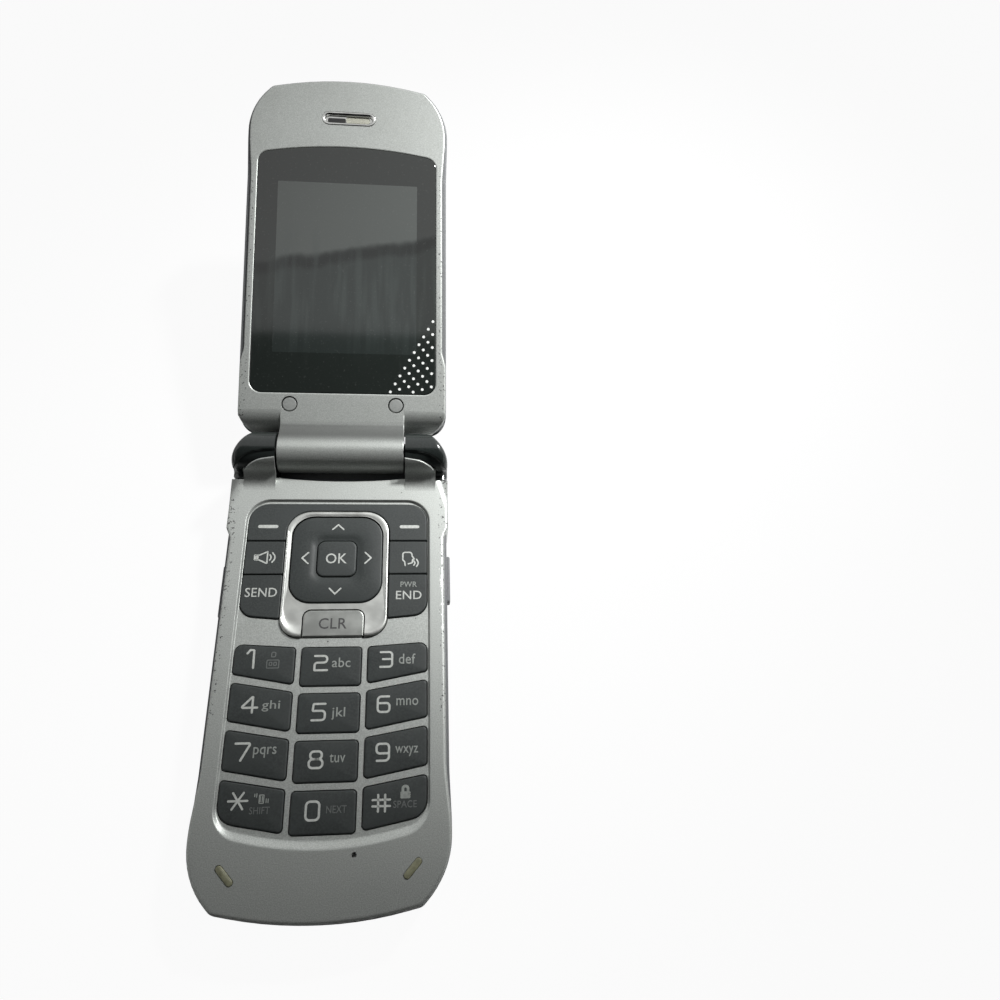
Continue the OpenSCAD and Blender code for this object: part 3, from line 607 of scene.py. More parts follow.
@dataclass(frozen=True)
class SilverPaint(Finish):
    """Satin paint with fine flake, a little grime and dark pin-head chips."""

    roughness: float = 0.42
    metal: float = 0.5
    chips: float = 0.085
    rim_wear: bool = False
    # Whether the paint is the lid's: it then gets painted shade in the hollow over the barrel, and
    # its pits follow the lid's tilt
    groove_shade: bool = False
    pitted: bool = False

    def dress(self, graph: Graph) -> None:
        """Flake and cloudy grime in the colour, chips, and an uneven gloss."""
        flake, cloud = graph.noise(0.2, 1.0), graph.noise(9.0, 3.0)
        colour = graph.mix(
            graph.band(flake, 0.3, 0.72), shade(self.colour, 0.84), shade(self.colour, 1.13)
        )
        colour = graph.mix(
            graph.band(cloud, 0.3, 0.75), colour, graph.mix(0.12, colour, (0.16, 0.16, 0.14, 1))
        )
        spots = graph.node(
            "ShaderNodeTexVoronoi",
            {"Vector": graph.place, "Scale": 1 / (2.4 * MM), "Randomness": 1.0},
        )
        size = graph.math("MULTIPLY", graph.band(graph.noise(3.1, 1.0), 0.48, 0.72), self.chips)
        chip = graph.math("LESS_THAN", spots.outputs["Distance"], size)
        colour = graph.mix(graph.both(chip, 0.75), colour, (0.03, 0.032, 0.03, 1))
        if self.rim_wear:
            side = graph.both(
                graph.span((1, 0, 0), 21.4, 22.3, 0.25), graph.span((0, 1, 0), 6.0, 22.5, 2.5)
            )
            flecks = graph.band(graph.noise(0.55, 2.0, (1, 0.5, 1)), 0.585, 0.625)
            colour = graph.mix(graph.both(side, flecks), colour, (0.72, 0.73, 0.71, 1))
        if self.pitted:
            lift = math.radians(REST_LIFT if self.groove_shade else 0.0)
            out, low = (0, -math.sin(lift), math.cos(lift)), PHONE.base_top
            if self.groove_shade:
                low = HINGE_Z * math.cos(lift) - HINGE_Y * math.sin(lift) + PHONE.lid_face
            across = graph.math("ABSOLUTE", graph.along((1, 0, 0)))
            near_top = graph.rise(graph.along(out), low - 0.9, low - 0.5)
            edge = graph.rise(across, 21.2, 21.6)
            edge = graph.both(edge, near_top, graph.span((0, 1, 0), -12.0, 112.0, 6.0))
            pits = graph.band(graph.noise(0.5, 1.0), 0.64, 0.67)
            colour = graph.mix(graph.both(edge, pits), colour, (0.1, 0.1, 0.1, 1))
        # Painted shade: a dark band in the hollow between the lid's face and the barrel, about 0.6
        # to 7.6 mm from the hinge, across the barrel's width
        if self.groove_shade:
            lid_up, start = lid_way()
            middle = graph.span((1, 0, 0), -PHONE.barrel_half, PHONE.barrel_half, 0.4)
            height = graph.along(lid_up)
            rise = graph.rise(height, start + 0.6, start + 4.2)
            painted_shade = graph.both(rise, graph.rise(height, start + 7.6, start + 6.2), middle, 0.8)
            colour = graph.mix(painted_shade, colour, (0.05, 0.052, 0.05, 1))
        graph.plain(Base_Color=colour, Metallic=self.metal, Specular_IOR_Level=0.3)
        graph.rough(cloud, 0.14, self.roughness - 0.07)
        graph.bump(flake, 0.012)


@dataclass(frozen=True)
class Moulded(Finish):
    """Moulded or coated plastic with a fine grain."""

    roughness: float = 0.5
    grain: float = 0.3
    depth: float = 0.012
    shine: float = 0.3

    def dress(self, graph: Graph) -> None:
        """Grain in the colour, gloss and height."""
        grain, cloud = graph.noise(self.grain, 2.0), graph.noise(6.0, 2.0)
        colour = graph.mix(
            graph.band(grain, 0.32, 0.7), shade(self.colour, 0.8), shade(self.colour, 1.22)
        )
        colour = graph.mix(graph.band(cloud, 0.25, 0.8), colour, shade(self.colour, 1.1))
        graph.rough(cloud, 0.12, self.roughness - 0.06)
        graph.plain(Base_Color=colour, Specular_IOR_Level=self.shine)
        graph.bump(grain, self.depth)


@dataclass(frozen=True)
class Plated(Finish):
    """Plated or bare metal with faint smears."""

    roughness: float = 0.14
    smear: float = 0.1

    def dress(self, graph: Graph) -> None:
        """Metal whose gloss and tone vary in soft smears."""
        smears, fine = graph.noise(3.0, 3.0), graph.noise(0.4, 2.0)
        tone = graph.mix(
            graph.band(smears, 0.3, 0.75), shade(self.colour, 0.86), shade(self.colour, 1.08)
        )
        graph.rough(smears, self.smear, self.roughness)
        graph.plain(Base_Color=tone, Metallic=1.0)
        graph.bump(fine, 0.004)


@dataclass(frozen=True)
class Window(Finish):
    """Glossy window over dark print, with a painted reflection, faint dust and fine scratches."""

    # A painted reflection: the lighter tone towards the tip, whose soft edge lies between low and
    # high from the hinge, waved by wave and tilted by tilt
    reflection_colour: Corner = (0.04, 0.045, 0.045)
    low: float = 50.3
    high: float = 52.6
    roughness: float = 0.07
    wave: float = 6.0
    tilt: float = 0.2

    def dress(self, graph: Graph) -> None:
        """A painted reflection: a lighter tone towards the tip behind a soft wavy edge, a dark line
        along that edge and light streaks lower down; dust and scratches.
        """
        lid_up, start = lid_way()
        swell = graph.both(graph.noise(11.0, 3.0, (1, 0.5, 0.5)), self.wave * MM)
        slope = graph.both(graph.along((1, 0, 0)), -self.tilt)
        height = graph.math("ADD", graph.math("ADD", graph.along(lid_up), swell), slope)
        # Painted reflection: the lighter tone above the wavy edge
        share = graph.rise(height, start + self.low, start + self.high)
        colour = graph.mix(share, shade(self.colour, 1), shade(self.reflection_colour, 1))
        edge = start + self.low
        # Painted reflection: a dark line along the edge of the lighter tone
        line = graph.rise(height, edge - 2.6, edge - 0.6)
        line = graph.both(line, graph.rise(height, start + self.high, edge + 0.4), 0.85)
        colour = graph.mix(line, colour, shade(self.colour, 0.3))
        # Painted reflection: light streaks on the lower part of the glass
        below = graph.both(graph.span(lid_up, start + 26.0, edge - 1.0, 16.0), 0.45)
        reflected_streaks = graph.band(graph.noise(2.2, 2.0, (1, 0.1, 0.1)), 0.45, 0.68)
        colour = graph.mix(graph.both(below, reflected_streaks), colour, shade(self.colour, 2.0))
        dust = graph.band(graph.noise(0.5, 3.0), 0.6, 0.78)
        colour = graph.mix(graph.both(dust, 0.05), colour, (0.5, 0.5, 0.5, 1))
        scratches = graph.band(graph.noise(0.5, 2.0, (1, 0.04, 0.04)), 0.66, 0.72)
        graph.rough(scratches, 0.12, self.roughness)
        graph.plain(Base_Color=colour, Specular_IOR_Level=0.5)


@dataclass(frozen=True)
class Print(Finish):
    """Printed marks, a little worn."""

    fade: float = 0.82

    def dress(self, graph: Graph) -> None:
        """Ink that thins in small patches."""
        patch = graph.band(graph.noise(0.5, 2.0), 0.35, 0.65)
        graph.plain(
            Base_Color=graph.mix(patch, shade(self.colour, self.fade), shade(self.colour, 1)),
            Roughness=0.45,
        )


SILVER = SilverPaint("silver_paint", (0.43, 0.45, 0.43), rim_wear=True, pitted=True)
# The lid's paint carries painted shade in the hollow over the barrel
LID_SILVER = SilverPaint(
    "lid_silver_paint", (0.43, 0.45, 0.43), "silver_paint", groove_shade=True, pitted=True
)
SIDE = SilverPaint("side_paint", (0.15, 0.155, 0.16), roughness=0.55, metal=0.1, chips=0.05)
BACK = SilverPaint("back_paint", (0.17, 0.175, 0.18), roughness=0.5, metal=0.1, chips=0.04)
GLOSS = Moulded("black_gloss", (0.018, 0.022, 0.021), roughness=0.2, depth=0.002, shine=0.45)
KEYS = Moulded("key_plastic", (0.036, 0.041, 0.04), roughness=0.5, grain=0.35, depth=0.01)
RING = Moulded(
    "ring_plastic", (0.032, 0.037, 0.036), "key_plastic", roughness=0.46, grain=0.35, depth=0.01
)
CHROME = Plated("chrome_plate", (0.5, 0.505, 0.49), roughness=0.16)
BEZEL = Plated("bezel_chrome", (0.46, 0.47, 0.45), "chrome_plate", roughness=0.3, smear=0.16)
WORN_CHROME = Plated("worn_chrome", (0.3, 0.31, 0.295), "chrome_plate", roughness=0.3, smear=0.2)
# Each window's second colour is a painted reflection towards the tip
WINDOW = Window("window_gloss", (0.017, 0.021, 0.019), reflection_colour=(0.03, 0.033, 0.031))
DISPLAY = Window("display_glass", (0.026, 0.032, 0.03), reflection_colour=(0.08, 0.088, 0.083))
PLUG = Moulded("plug_plastic", (0.25, 0.26, 0.25), roughness=0.6, grain=0.5)
BUMPER = Moulded("bumper_rubber", (0.25, 0.25, 0.165), roughness=0.35, grain=0.8)
FELT = Moulded("speaker_felt", (0.5, 0.5, 0.42), "white_film", roughness=0.8, grain=0.2)
BLACK = Moulded("black_plastic", (0.02, 0.02, 0.02), roughness=0.6)
STEEL = Plated("steel", (0.5, 0.5, 0.51), roughness=0.28)
GOLD = Plated("gold_plate", (0.7, 0.5, 0.18), roughness=0.25)
TUNGSTEN = Plated("tungsten", (0.2, 0.19, 0.18), roughness=0.5)
BOARD = Moulded("board", (0.02, 0.12, 0.05), roughness=0.35, grain=1.2)
FILM = Moulded("white_film", (0.6, 0.6, 0.57), roughness=0.5)
SILICONE = Moulded("silicone", (0.25, 0.26, 0.26), roughness=0.55)
WRAP = Moulded("battery_wrap", (0.09, 0.1, 0.12), roughness=0.4)
COPPER = Moulded("copper_film", (0.4, 0.19, 0.06), roughness=0.35)
WHITE_INK = Print("white_ink", (0.56, 0.58, 0.55), "key_plastic")
GREY_INK = Print("grey_ink", (0.3, 0.32, 0.3), "key_plastic")
DIM_INK = Print("dim_ink", (0.13, 0.14, 0.135), "key_plastic")
DARK_INK = Print("dark_ink", (0.06, 0.06, 0.06), "chrome_plate")
DOT_INK = Print("dot_ink", (0.85, 0.87, 0.85), "window_gloss", fade=0.95)


# ---- placing pieces -------------------------------------------------------------------------


def show(
    skin: Skin,
    name: str,
    body: str,
    finishes: Sequence[Finish],
    stands_for: Sequence[str] = (),
    cut: Skin | None = None,
    sharp: float = 40.0,
) -> bpy.types.Object:
    """Makes a piece from a skin, dresses it and lets it ride on its body.

    Args:
        skin: The piece's points and faces.
        name: The piece's name.
        body: The body that carries the piece, in whose frame the skin is drawn.
        finishes: The finishes that the skin's face numbers mean.
        stands_for: The nodes that the piece stands for.
        cut: Closed shapes that are taken out of the piece.
        sharp: Edges that turn by more than this many degrees stay sharp.

    Returns:
        The piece.
    """
    place = Place.of(body)
    piece = bpy.data.objects.new(name, skin.mesh(name, place))
    bpy.context.scene.collection.objects.link(piece)
    for finish in finishes:
        piece.data.materials.append(finish.material())
    if cut is not None:
        carve(piece, cut, place)
    for face in piece.data.polygons:
        face.use_smooth = True
    piece.data.set_sharp_from_angle(angle=math.radians(sharp))
    weights = piece.modifiers.new("even_normals", "WEIGHTED_NORMAL")
    weights.keep_sharp = True
    if stands_for:
        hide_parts(*stands_for)
    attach(piece, body)
    LOG.info("%s on %s, %d faces", name, body, len(piece.data.polygons))
    return piece


def carve(piece: bpy.types.Object, cut: Skin, place: Place) -> None:
    """Takes closed shapes out of a piece for good."""
    tool = bpy.data.objects.new("cutter", cut.mesh("cutter", place))
    bpy.context.scene.collection.objects.link(tool)
    step = piece.modifiers.new("cut", "BOOLEAN")
    step.operation, step.solver, step.use_self, step.object = "DIFFERENCE", "EXACT", True, tool
    depsgraph = bpy.context.evaluated_depsgraph_get()
    result = bpy.data.meshes.new_from_object(piece.evaluated_get(depsgraph))
    piece.modifiers.clear()
    old, piece.data = piece.data, result
    bpy.data.meshes.remove(old)
    mesh = tool.data
    bpy.data.objects.remove(tool)
    bpy.data.meshes.remove(mesh)


def redress(nodes: dict[str, object], names: Iterable[str], finish: Finish) -> None:
    """Gives carried-over nodes a finish."""
    for name in names:
        node = nodes[name]
        node.data.materials.clear()
        node.data.materials.append(finish.material())
        LOG.info("%s keeps its shape, finish %s", name, finish.name)


# ---- marks ----------------------------------------------------------------------------------

# Strokes of the digits in a box of 10 by 10, corner by corner: x, y, rounding
STROKES: dict[str, list[tuple[Corner, ...]]] = {
    "0": [((5, 0, 0), (9.2, 0, 2.6), (9.2, 10, 2.6), (0.8, 10, 2.6), (0.8, 0, 2.6), (5, 0, 0))],
    "1": [((1.2, 8.1, 0), (3.2, 10, 0.3), (6.2, 10, 0.8), (6.6, 0, 0))],
    "2": [
        ((0.8, 10, 0), (9.2, 10, 2.2), (9.2, 5.3, 2.2), (0.8, 5.3, 1.8), (0.8, 0, 0.4), (9.4, 0, 0))
    ],
    "3": [
        ((0.8, 10, 0), (9.2, 10, 2.2), (9.2, 0, 2.2), (0.6, 0, 0)), ((2.4, 5.2, 0), (9.0, 5.2, 0))
    ],
    "4": [((7.2, 0, 0), (7.2, 10, 0.3), (0.6, 3.0, 0.6), (10, 3.0, 0))],
    "5": [
        ((9.2, 10, 0), (1.4, 10, 0.6), (0.9, 5.7, 0.7), (9.2, 5.7, 2.2), (9.2, 0, 2.2), (0.6, 0, 0))
    ],
    "6": [
        ((8.8, 10, 0), (0.8, 10, 2.6), (0.8, 0, 2.4), (9.2, 0, 2.2), (9.2, 5.7, 2.2), (0.8, 5.7, 0))
    ],
    "7": [((0.5, 10, 0), (9.5, 10, 0.8), (4.2, 0, 0))],
    "9": [
        ((1.2, 0, 0), (9.2, 0, 2.6), (9.2, 10, 2.4), (0.8, 10, 2.2), (0.8, 4.3, 2.2), (9.2, 4.3, 0))
    ],
    "8": [
        (
            (5, 5.3, 0), (8.6, 5.3, 2.2), (8.6, 10, 2.2), (1.4, 10, 2.2), (1.4, 5.3, 2.2),
            (5, 5.3, 0),
        ),
        ((5, 5.3, 0), (9.3, 5.3, 2.4), (9.3, 0, 2.4), (0.7, 0, 2.4), (0.7, 5.3, 2.4), (5, 5.3, 0)),
    ],
    "*": [((0, 5, 0), (10, 5, 0)), ((2.2, 0.6, 0), (7.8, 9.4, 0)), ((2.2, 9.4, 0), (7.8, 0.6, 0))],
    "#": [
        ((3.2, 0, 0), (3.2, 10, 0)), ((7.2, 0, 0), (7.2, 10, 0)), ((0, 3.2, 0), (10, 3.2, 0)),
        ((0, 7, 0), (10, 7, 0)),
    ],
    "^": [((0, 0, 0), (5, 10, 0), (10, 0, 0))],
    "v": [((0, 10, 0), (5, 0, 0), (10, 10, 0))],
    "<": [((10, 0, 0), (0, 5, 0), (10, 10, 0))],
    ">": [((0, 0, 0), (10, 5, 0), (0, 10, 0))],
    "-": [((0, 5, 0), (10, 5, 0))],
    "speaker": [
        (
            (0, 3, 0), (2.2, 3, 0.1), (6, 0, 0.1), (6, 10, 0.1), (2.2, 7, 0.1), (0, 7, 0.1),
            (0, 3, 0),
        ),
        ((0.7, 3.2, 0), (0.7, 6.8, 0)), ((1.5, 3.2, 0), (1.5, 6.8, 0)),
        ((7.2, 2.8, 0), (8.2, 5, 3), (7.2, 7.2, 0)), ((8.4, 1, 0), (10.2, 5, 4), (8.4, 9, 0)),
    ],
    "talk": [
        (
            (1.8, 0.2, 0), (1.4, 3.0, 0.6), (0.3, 4.4, 1.0), (0.3, 10, 1.6), (5.6, 10, 1.8),
            (5.9, 7.2, 0.4),
            (7.2, 5.0, 0.2), (6.2, 4.6, 0.2), (6.0, 2.2, 0.6), (3.6, 1.4, 0),
        ),
        ((6.9, 0.4, 0), (7.9, 2.0, 1.6), (6.9, 3.6, 0)),
        ((8.6, -0.6, 0), (10, 2.0, 3), (8.6, 4.8, 0)),
    ],
    "tape": [
        ((0, 0, 0.8), (10, 0, 0.8), (10, 5, 0.8), (0, 5, 0.8), (0, 0, 0.8)),
        ((2, 1.6, 0.7), (4.2, 1.6, 0.7), (4.2, 3.6, 0.7), (2, 3.6, 0.7), (2, 1.6, 0.7)),
        ((5.8, 1.6, 0.7), (8, 1.6, 0.7), (8, 3.6, 0.7), (5.8, 3.6, 0.7), (5.8, 1.6, 0.7)),
        ((3.4, 7, 1.2), (6.8, 7, 1.2), (6.8, 10, 1.2), (3.4, 10, 1.2), (3.4, 7, 1.2)),
    ],
    "lock": [
        ((1.5, 0.9, 0), (8.5, 0.9, 0)), ((1.5, 2.6, 0), (8.5, 2.6, 0)),
        ((1.5, 4.3, 0), (8.5, 4.3, 0)),
        ((2.6, 5, 0), (2.6, 9.6, 2.2), (7.4, 9.6, 2.2), (7.4, 5, 0)),
    ],
    "buzz": [
        ((3.6, 0, 0.5), (6.8, 0, 0.5), (6.8, 8, 0.5), (3.6, 8, 0.5), (3.6, 0, 0.5)),
        ((4.4, 1.5, 0), (4.4, 6.5, 0)),
        ((5.8, 1.5, 0), (5.8, 6.5, 0)), ((1.6, 6, 0), (1.6, 9.4, 0)), ((8.6, 0.5, 0), (8.6, 4, 0)),
        ((10, 0.5, 0), (10, 4, 0)), ((0.2, 6.6, 0), (0.2, 9, 0)),
    ],
}


@dataclass(frozen=True)
class Mark:
    """A printed mark that fills a box on its key: a drawn stroke figure or plain lettering."""

    text: str
    box: tuple[float, float, float, float]
    ink: Finish = WHITE_INK
    stroke: float = 0.42
    drawn: bool = True

    def flat(self) -> list[list[Point]]:
        """The mark's flat faces, from above."""
        return self.strokes() if self.drawn else self.lettering()

    def strokes(self) -> list[list[Point]]:
        """Faces of the drawn strokes, each a strip of quads with a round at every end."""
        x0, y0, x1, y1 = self.box
        faces: list[list[Point]] = []
        half = self.stroke / 2
        for path in STROKES[self.text]:
            sx, sy = (x1 - x0) / 10, (y1 - y0) / 10
            corners = tuple((x0 + x * sx, y0 + y * sy, r * min(sx, sy)) for x, y, r in path)
            line = [Vector(p) for p in Outline(corners, closed=False).points(5)]
            sides = []
            for i, p in enumerate(line):
                a = (p - line[i - 1]).normalized() if i else None
                b = (line[i + 1] - p).normalized() if i + 1 < len(line) else None
                ahead = (a or b) + (b or a)
                ahead = ahead.normalized() if ahead.length > 1e-6 else (a or b)
                normal = Vector((-ahead.y, ahead.x))
                ref = a or b
                share = max(0.35, Vector((-ref.y, ref.x)).dot(normal))
                sides.append((p + normal * half / share, p - normal * half / share))
            for (a0, a1), (b0, b1) in zip(sides, sides[1:]):
                cuts = max(1, math.ceil((b0 - a0).length / 0.35))
                for k in range(cuts):
                    s, t = k / cuts, (k + 1) / cuts
                    corners = (a0.lerp(b0, s), a1.lerp(b1, s), a1.lerp(b1, t), a0.lerp(b0, t))
                    faces.append([tuple(c) for c in corners])
            for p, q in ((line[0], line[1]), (line[-1], line[-2])):
                if (line[0] - line[-1]).length < 1e-6:
                    break
                back = math.atan2(p.y - q.y, p.x - q.x)
                ring = [back + math.pi * (i / 6 - 0.5) for i in range(7)]
                faces.append([(p.x + half * math.cos(t), p.y + half * math.sin(t)) for t in ring])
        return faces

    def lettering(self) -> list[list[Point]]:
        """Faces of plain letters, stretched to the mark's box."""
        curve = bpy.data.curves.new("letters", "FONT")
        curve.body, curve.resolution_u, curve.space_character = self.text, 3, 1.04
        curve.offset = 0.006
        holder = bpy.data.objects.new("letters", curve)
        bpy.context.scene.collection.objects.link(holder)
        depsgraph = bpy.context.evaluated_depsgraph_get()
        mesh = bpy.data.meshes.new_from_object(holder.evaluated_get(depsgraph))
        points = [v.co.copy() for v in mesh.vertices]
        x0, y0, x1, y1 = self.box
        low = Vector((min(p.x for p in points), min(p.y for p in points)))
        high = Vector((max(p.x for p in points), max(p.y for p in points)))
        sx, sy = (x1 - x0) / (high.x - low.x), (y1 - y0) / (high.y - low.y)
        moved = [(x0 + (p.x - low.x) * sx, y0 + (p.y - low.y) * sy) for p in points]
        faces = [[moved[i] for i in face.vertices] for face in mesh.polygons]
        bpy.data.objects.remove(holder)
        bpy.data.curves.remove(curve)
        bpy.data.meshes.remove(mesh)
        return faces


def print_marks(marks: Sequence[Mark], on: bpy.types.Object, name: str, body: str) -> None:
    """Lays marks on the top of a piece.

    Args:
        marks: The marks, in the piece's frame.
        on: The piece that carries them.
        name: The name of the printed piece.
        body: The body that carries both.
    """
    tree = BVHTree.FromObject(on, bpy.context.evaluated_depsgraph_get())
    place = Place.of(body)
    down = (place.matrix.to_3x3() @ Vector((0, 0, -1))).normalized()
    back = place.matrix.inverted()
    skin, inks = Skin(), []
    for mark in marks:
        if mark.ink not in inks:
            inks.append(mark.ink)
        for face in mark.flat():
            heights = []
            for x, y in face:
                start = place.matrix @ Vector((x, y, 30))
                hit = tree.ray_cast(start, down)[0]
                heights.append((back @ hit).z if hit is not None else None)
            found = [h for h in heights if h is not None]
            if not found:
                continue
            spare = max(found)
            ring = skin.ring(face, [(spare if h is None else h) + INK_LIFT for h in heights])
            skin.faces.append((tuple(ring), inks.index(mark.ink)))
    show(skin, name, body, inks)


# ---- the base -------------------------------------------------------------------------------


@dataclass
class Keypad:
    """The keys, the navigation cluster and the chrome bezel."""

    column_gap: float = 1.26
    key_width: float = 11.747
    key_height: float = 7.5
    row_pitch: float = 9.0
    first_foot: float = -51.95
    smile: float = 2.25
    first_smile: float = 0.8
    key_foot: float = 8.75
    crown: float = 0.16
    bezel_foot: float = 8.35
    bezel: Outline = Outline.even((-10.75, -14, 5), (-10.75, -42.1, 4))
    ring: Outline = Outline.even((-9.45, -15.35, 4.5), (-9.45, -34.8, 4.5))
    ok: Outline = Outline.even((-4.075, -20.955, 1.6), (-4.075, -29.105, 1.6))
    clear: Outline = Outline.even((-6.15, -36.35, 1.6), (-6.15, -42.05, 0.3))
    clear_hole: Outline = Outline.even((-6.3, -36.2, 1.75), (-6.3, -44, 0))
    # The ring key's top from its rim to the hole: pairs of share of the way and height
    ring_top: tuple[Point, ...] = (
        (0.12, 0.06), (0.3, 0.13), (0.5, 0.16), (0.68, 0.14),
        (0.8, 0.06), (0.88, -0.08), (0.95, -0.16), (1.0, -0.2),
    )
    names: tuple[tuple[str, ...], ...] = (
        ("1", "2", "3"), ("4", "5", "6"), ("7", "8", "9"), ("star", "0", "hash")
    )

    def number_outline(self, column: int, row: int) -> Outline:
        """The outline of a number key: column -1, 0 or 1, row 0 to 3."""
        foot = self.first_foot - row * self.row_pitch
        top = foot + self.key_height + (0.25 if row == 0 else 0)
        if column == 0:
            return Outline.box(-self.key_width / 2, foot, self.key_width / 2, top, 0.7)
        x0 = self.key_width / 2 + self.column_gap
        x1, lift = x0 + self.key_width, 0 if row == 0 else 0.35
        rise = self.first_smile if row == 0 else self.smile - 0.2
        right = Outline((
            (x0, foot + 0.4, 0.7), (x1, foot + 0.4 + self.smile, 3.5 if row == 3 else 0.7),
            (x1, top + lift + rise, 1.5 if row == 0 else 0.7), (x0, top + lift, 0.7),
        ))
        return right if column > 0 else right.mirrored()

    def openings(self) -> list[Outline]:
        """The outlines of the holes in the key face: the cluster with the bezel, and each key."""
        half = PHONE.keys_half
        cluster = Outline.even(
            (-half, -12.1, 4), (-half, -37.4, 3), (-10.75, -38.175, 0), (-10.75, -42.1, 4)
        )
        numbers = [self.number_outline(c, r) for r in range(4) for c in (-1, 0, 1)]
        return [outline.inset(-0.15) for outline in [cluster, *numbers]]

    def cap(
        self, outline: Outline, top: float, crown: float, edge: float = 0.28, raised: float = 0.0
    ) -> Skin:
        """A convex key: walls, a rounded edge and a crowned top."""
        skin = Skin()
        layers = [(0, self.key_foot + raised), *rounded_edge(edge, edge, top - crown)]
        rings = skin.loft(outline, layers, 6)
        skin.fill(rings[0])
        skin.pillow(outline.inset(edge), crown, top - crown, 6)
        return skin

    def slab_key(self, outline: Outline, top: float, edge: float = 0.22) -> Skin:
        """A key with a flat top and a rounded edge."""
        skin = Skin()
        layers = [(0, self.key_foot), *rounded_edge(edge, edge, top), (edge + 0.06, top)]
        skin.solid(outline, layers, 8)
        return skin

    def numbers(self) -> None:
        """The twelve number keys with their marks."""
        for row, names in enumerate(self.names):
            for column, name in zip((-1, 0, 1), names):
                node = f"key_{name}"
                skin = self.cap(self.number_outline(column, row), PHONE.key_top, self.crown)
                key = show(skin, f"cap_{node}", node, [KEYS], [node])
                print_marks(NUMBER_MARKS[name], key, f"marks_{node}", node)

    def cluster(self) -> None:
        """The soft key bar and the four keys beside the bezel."""
        half, seam, side = PHONE.keys_half, 0.1, 10.9
        top = PHONE.key_top
        bar = Outline.even(
            (-half, -12.1, 4), (-half, -20.9 + seam, 0.35), (-side, -20.9 + seam, 0.35), (
                -side, -13.85, 5.15
            )
        )
        middle = Outline.box(-half, -28.55 + seam, -side, -20.9 - seam, 0.35)
        low = Outline((
            (-half, -28.55 - seam, 0.35), (-half, -37.4, 3), (-side, -38.16, 0.35),
            (-side, -28.55 - seam, 0.35),
        ))
        shapes = {
            "soft_key_bar": bar, "speaker_key": middle, "voice_key": middle.mirrored(),
            "send_key": low, "end_key": low.mirrored(),
        }
        for node, outline in shapes.items():
            key = show(self.slab_key(outline, top), f"cap_{node}", node, [KEYS], [node])
            print_marks(CLUSTER_MARKS[node], key, f"marks_{node}", node)

    def navigation(self) -> None:
        """The ring key, the OK key in it, and the clear key."""
        skin = Skin()
        top = PHONE.key_top + 0.05
        outer, inner = self.ring, self.ok.inset(-0.15)
        walls = skin.loft(outer, [(0, self.key_foot + 0.2), *rounded_edge(0.3, 0.3, top)], 8)
        start, end = self.ring.inset(0.3).points(8), inner.points(8)
        last = skin.sweep(
            walls[-1], start, end, [(share, top + height) for share, height in self.ring_top]
        )
        foot = skin.ring(inner.points(8), self.key_foot + 0.2)
        skin.bridge(last, foot)
        skin.bridge(foot, walls[0])
        ring = show(skin, "nav_ring_cap", "nav_ring", [RING], ["nav_ring_key"], sharp=50)
        print_marks(RING_MARKS, ring, "marks_nav_ring", "nav_ring")
        ok = show(
            self.cap(self.ok, PHONE.key_top + 0.2, 0.1, 0.35, raised=0.35), "cap_ok_key", "ok_key",
            [KEYS], ["ok_key"],
        )
        print_marks(
            [Mark("OK", (-2.25, -26.2, 2.1, -23.9), drawn=False)], ok, "marks_ok_key", "ok_key"
        )
        clear = show(
            self.slab_key(self.clear, 9.98, 0.3), "cap_clear_key", "clear_key", [WORN_CHROME],
            ["clear_key"],
        )
        print_marks(
            [Mark("CLR", (-2.9, -40.4, 2.7, -38.1), DARK_INK, drawn=False)], clear,
            "marks_clear_key", "clear_key",
        )

    def chrome(self) -> None:
        """The bezel: a round rim that dips into a dish round the clear key."""
        skin, top, steps = Skin(), PHONE.base_top + 0.15, 10
        outer, hole = self.bezel, self.ring.inset(-0.2)
        start = outer.inset(0.22).points(steps)
        inner = hole.points(steps)
        walls = skin.loft(
            outer, [(0, self.bezel_foot), *rounded_edge(0.22, 0.22, top - 0.05, 4)], steps
        )
        last = walls[-1]
        for share in (0.04, 0.09, 0.15, 0.22, 0.3, 0.4, 0.55, 0.7, 0.85, 1.0):
            heights = []
            for a, b in zip(start, inner):
                width = math.hypot(b[0] - a[0], b[1] - a[1])
                reach = share * width
                rim = max(0.0, 1 - ((reach - 0.42) / 0.62) ** 2) if reach < 1.04 else 0.0
                dish = 0.36 if width > 2.5 and reach > 1.0 else 0.12
                heights.append(
                    top - 0.05 + 0.05 * rim - dish * min(1.0, max(0.0, (reach - 0.5) / 1.4)) ** 1.3
                )
            ring = skin.ring(between(start, inner, share), heights)
            skin.bridge(last, ring)
            last = ring
        foot = skin.ring(inner, self.bezel_foot)
        skin.bridge(last, foot)
        skin.bridge(foot, walls[0])
        cut = Skin()
        cut.prism(self.clear_hole, 7, 12)
        show(skin, "bezel", "base", [BEZEL], ["nav_bezel"], cut, sharp=55)

    def build(self) -> None:
        """Makes every piece of the keypad."""
        self.chrome()
        self.cluster()
        self.navigation()
        self.numbers()


def words(text: str, box: tuple[float, float, float, float], ink: Finish = GREY_INK) -> Mark:
    """Plain lettering in a box."""
    return Mark(text, box, ink, drawn=False)


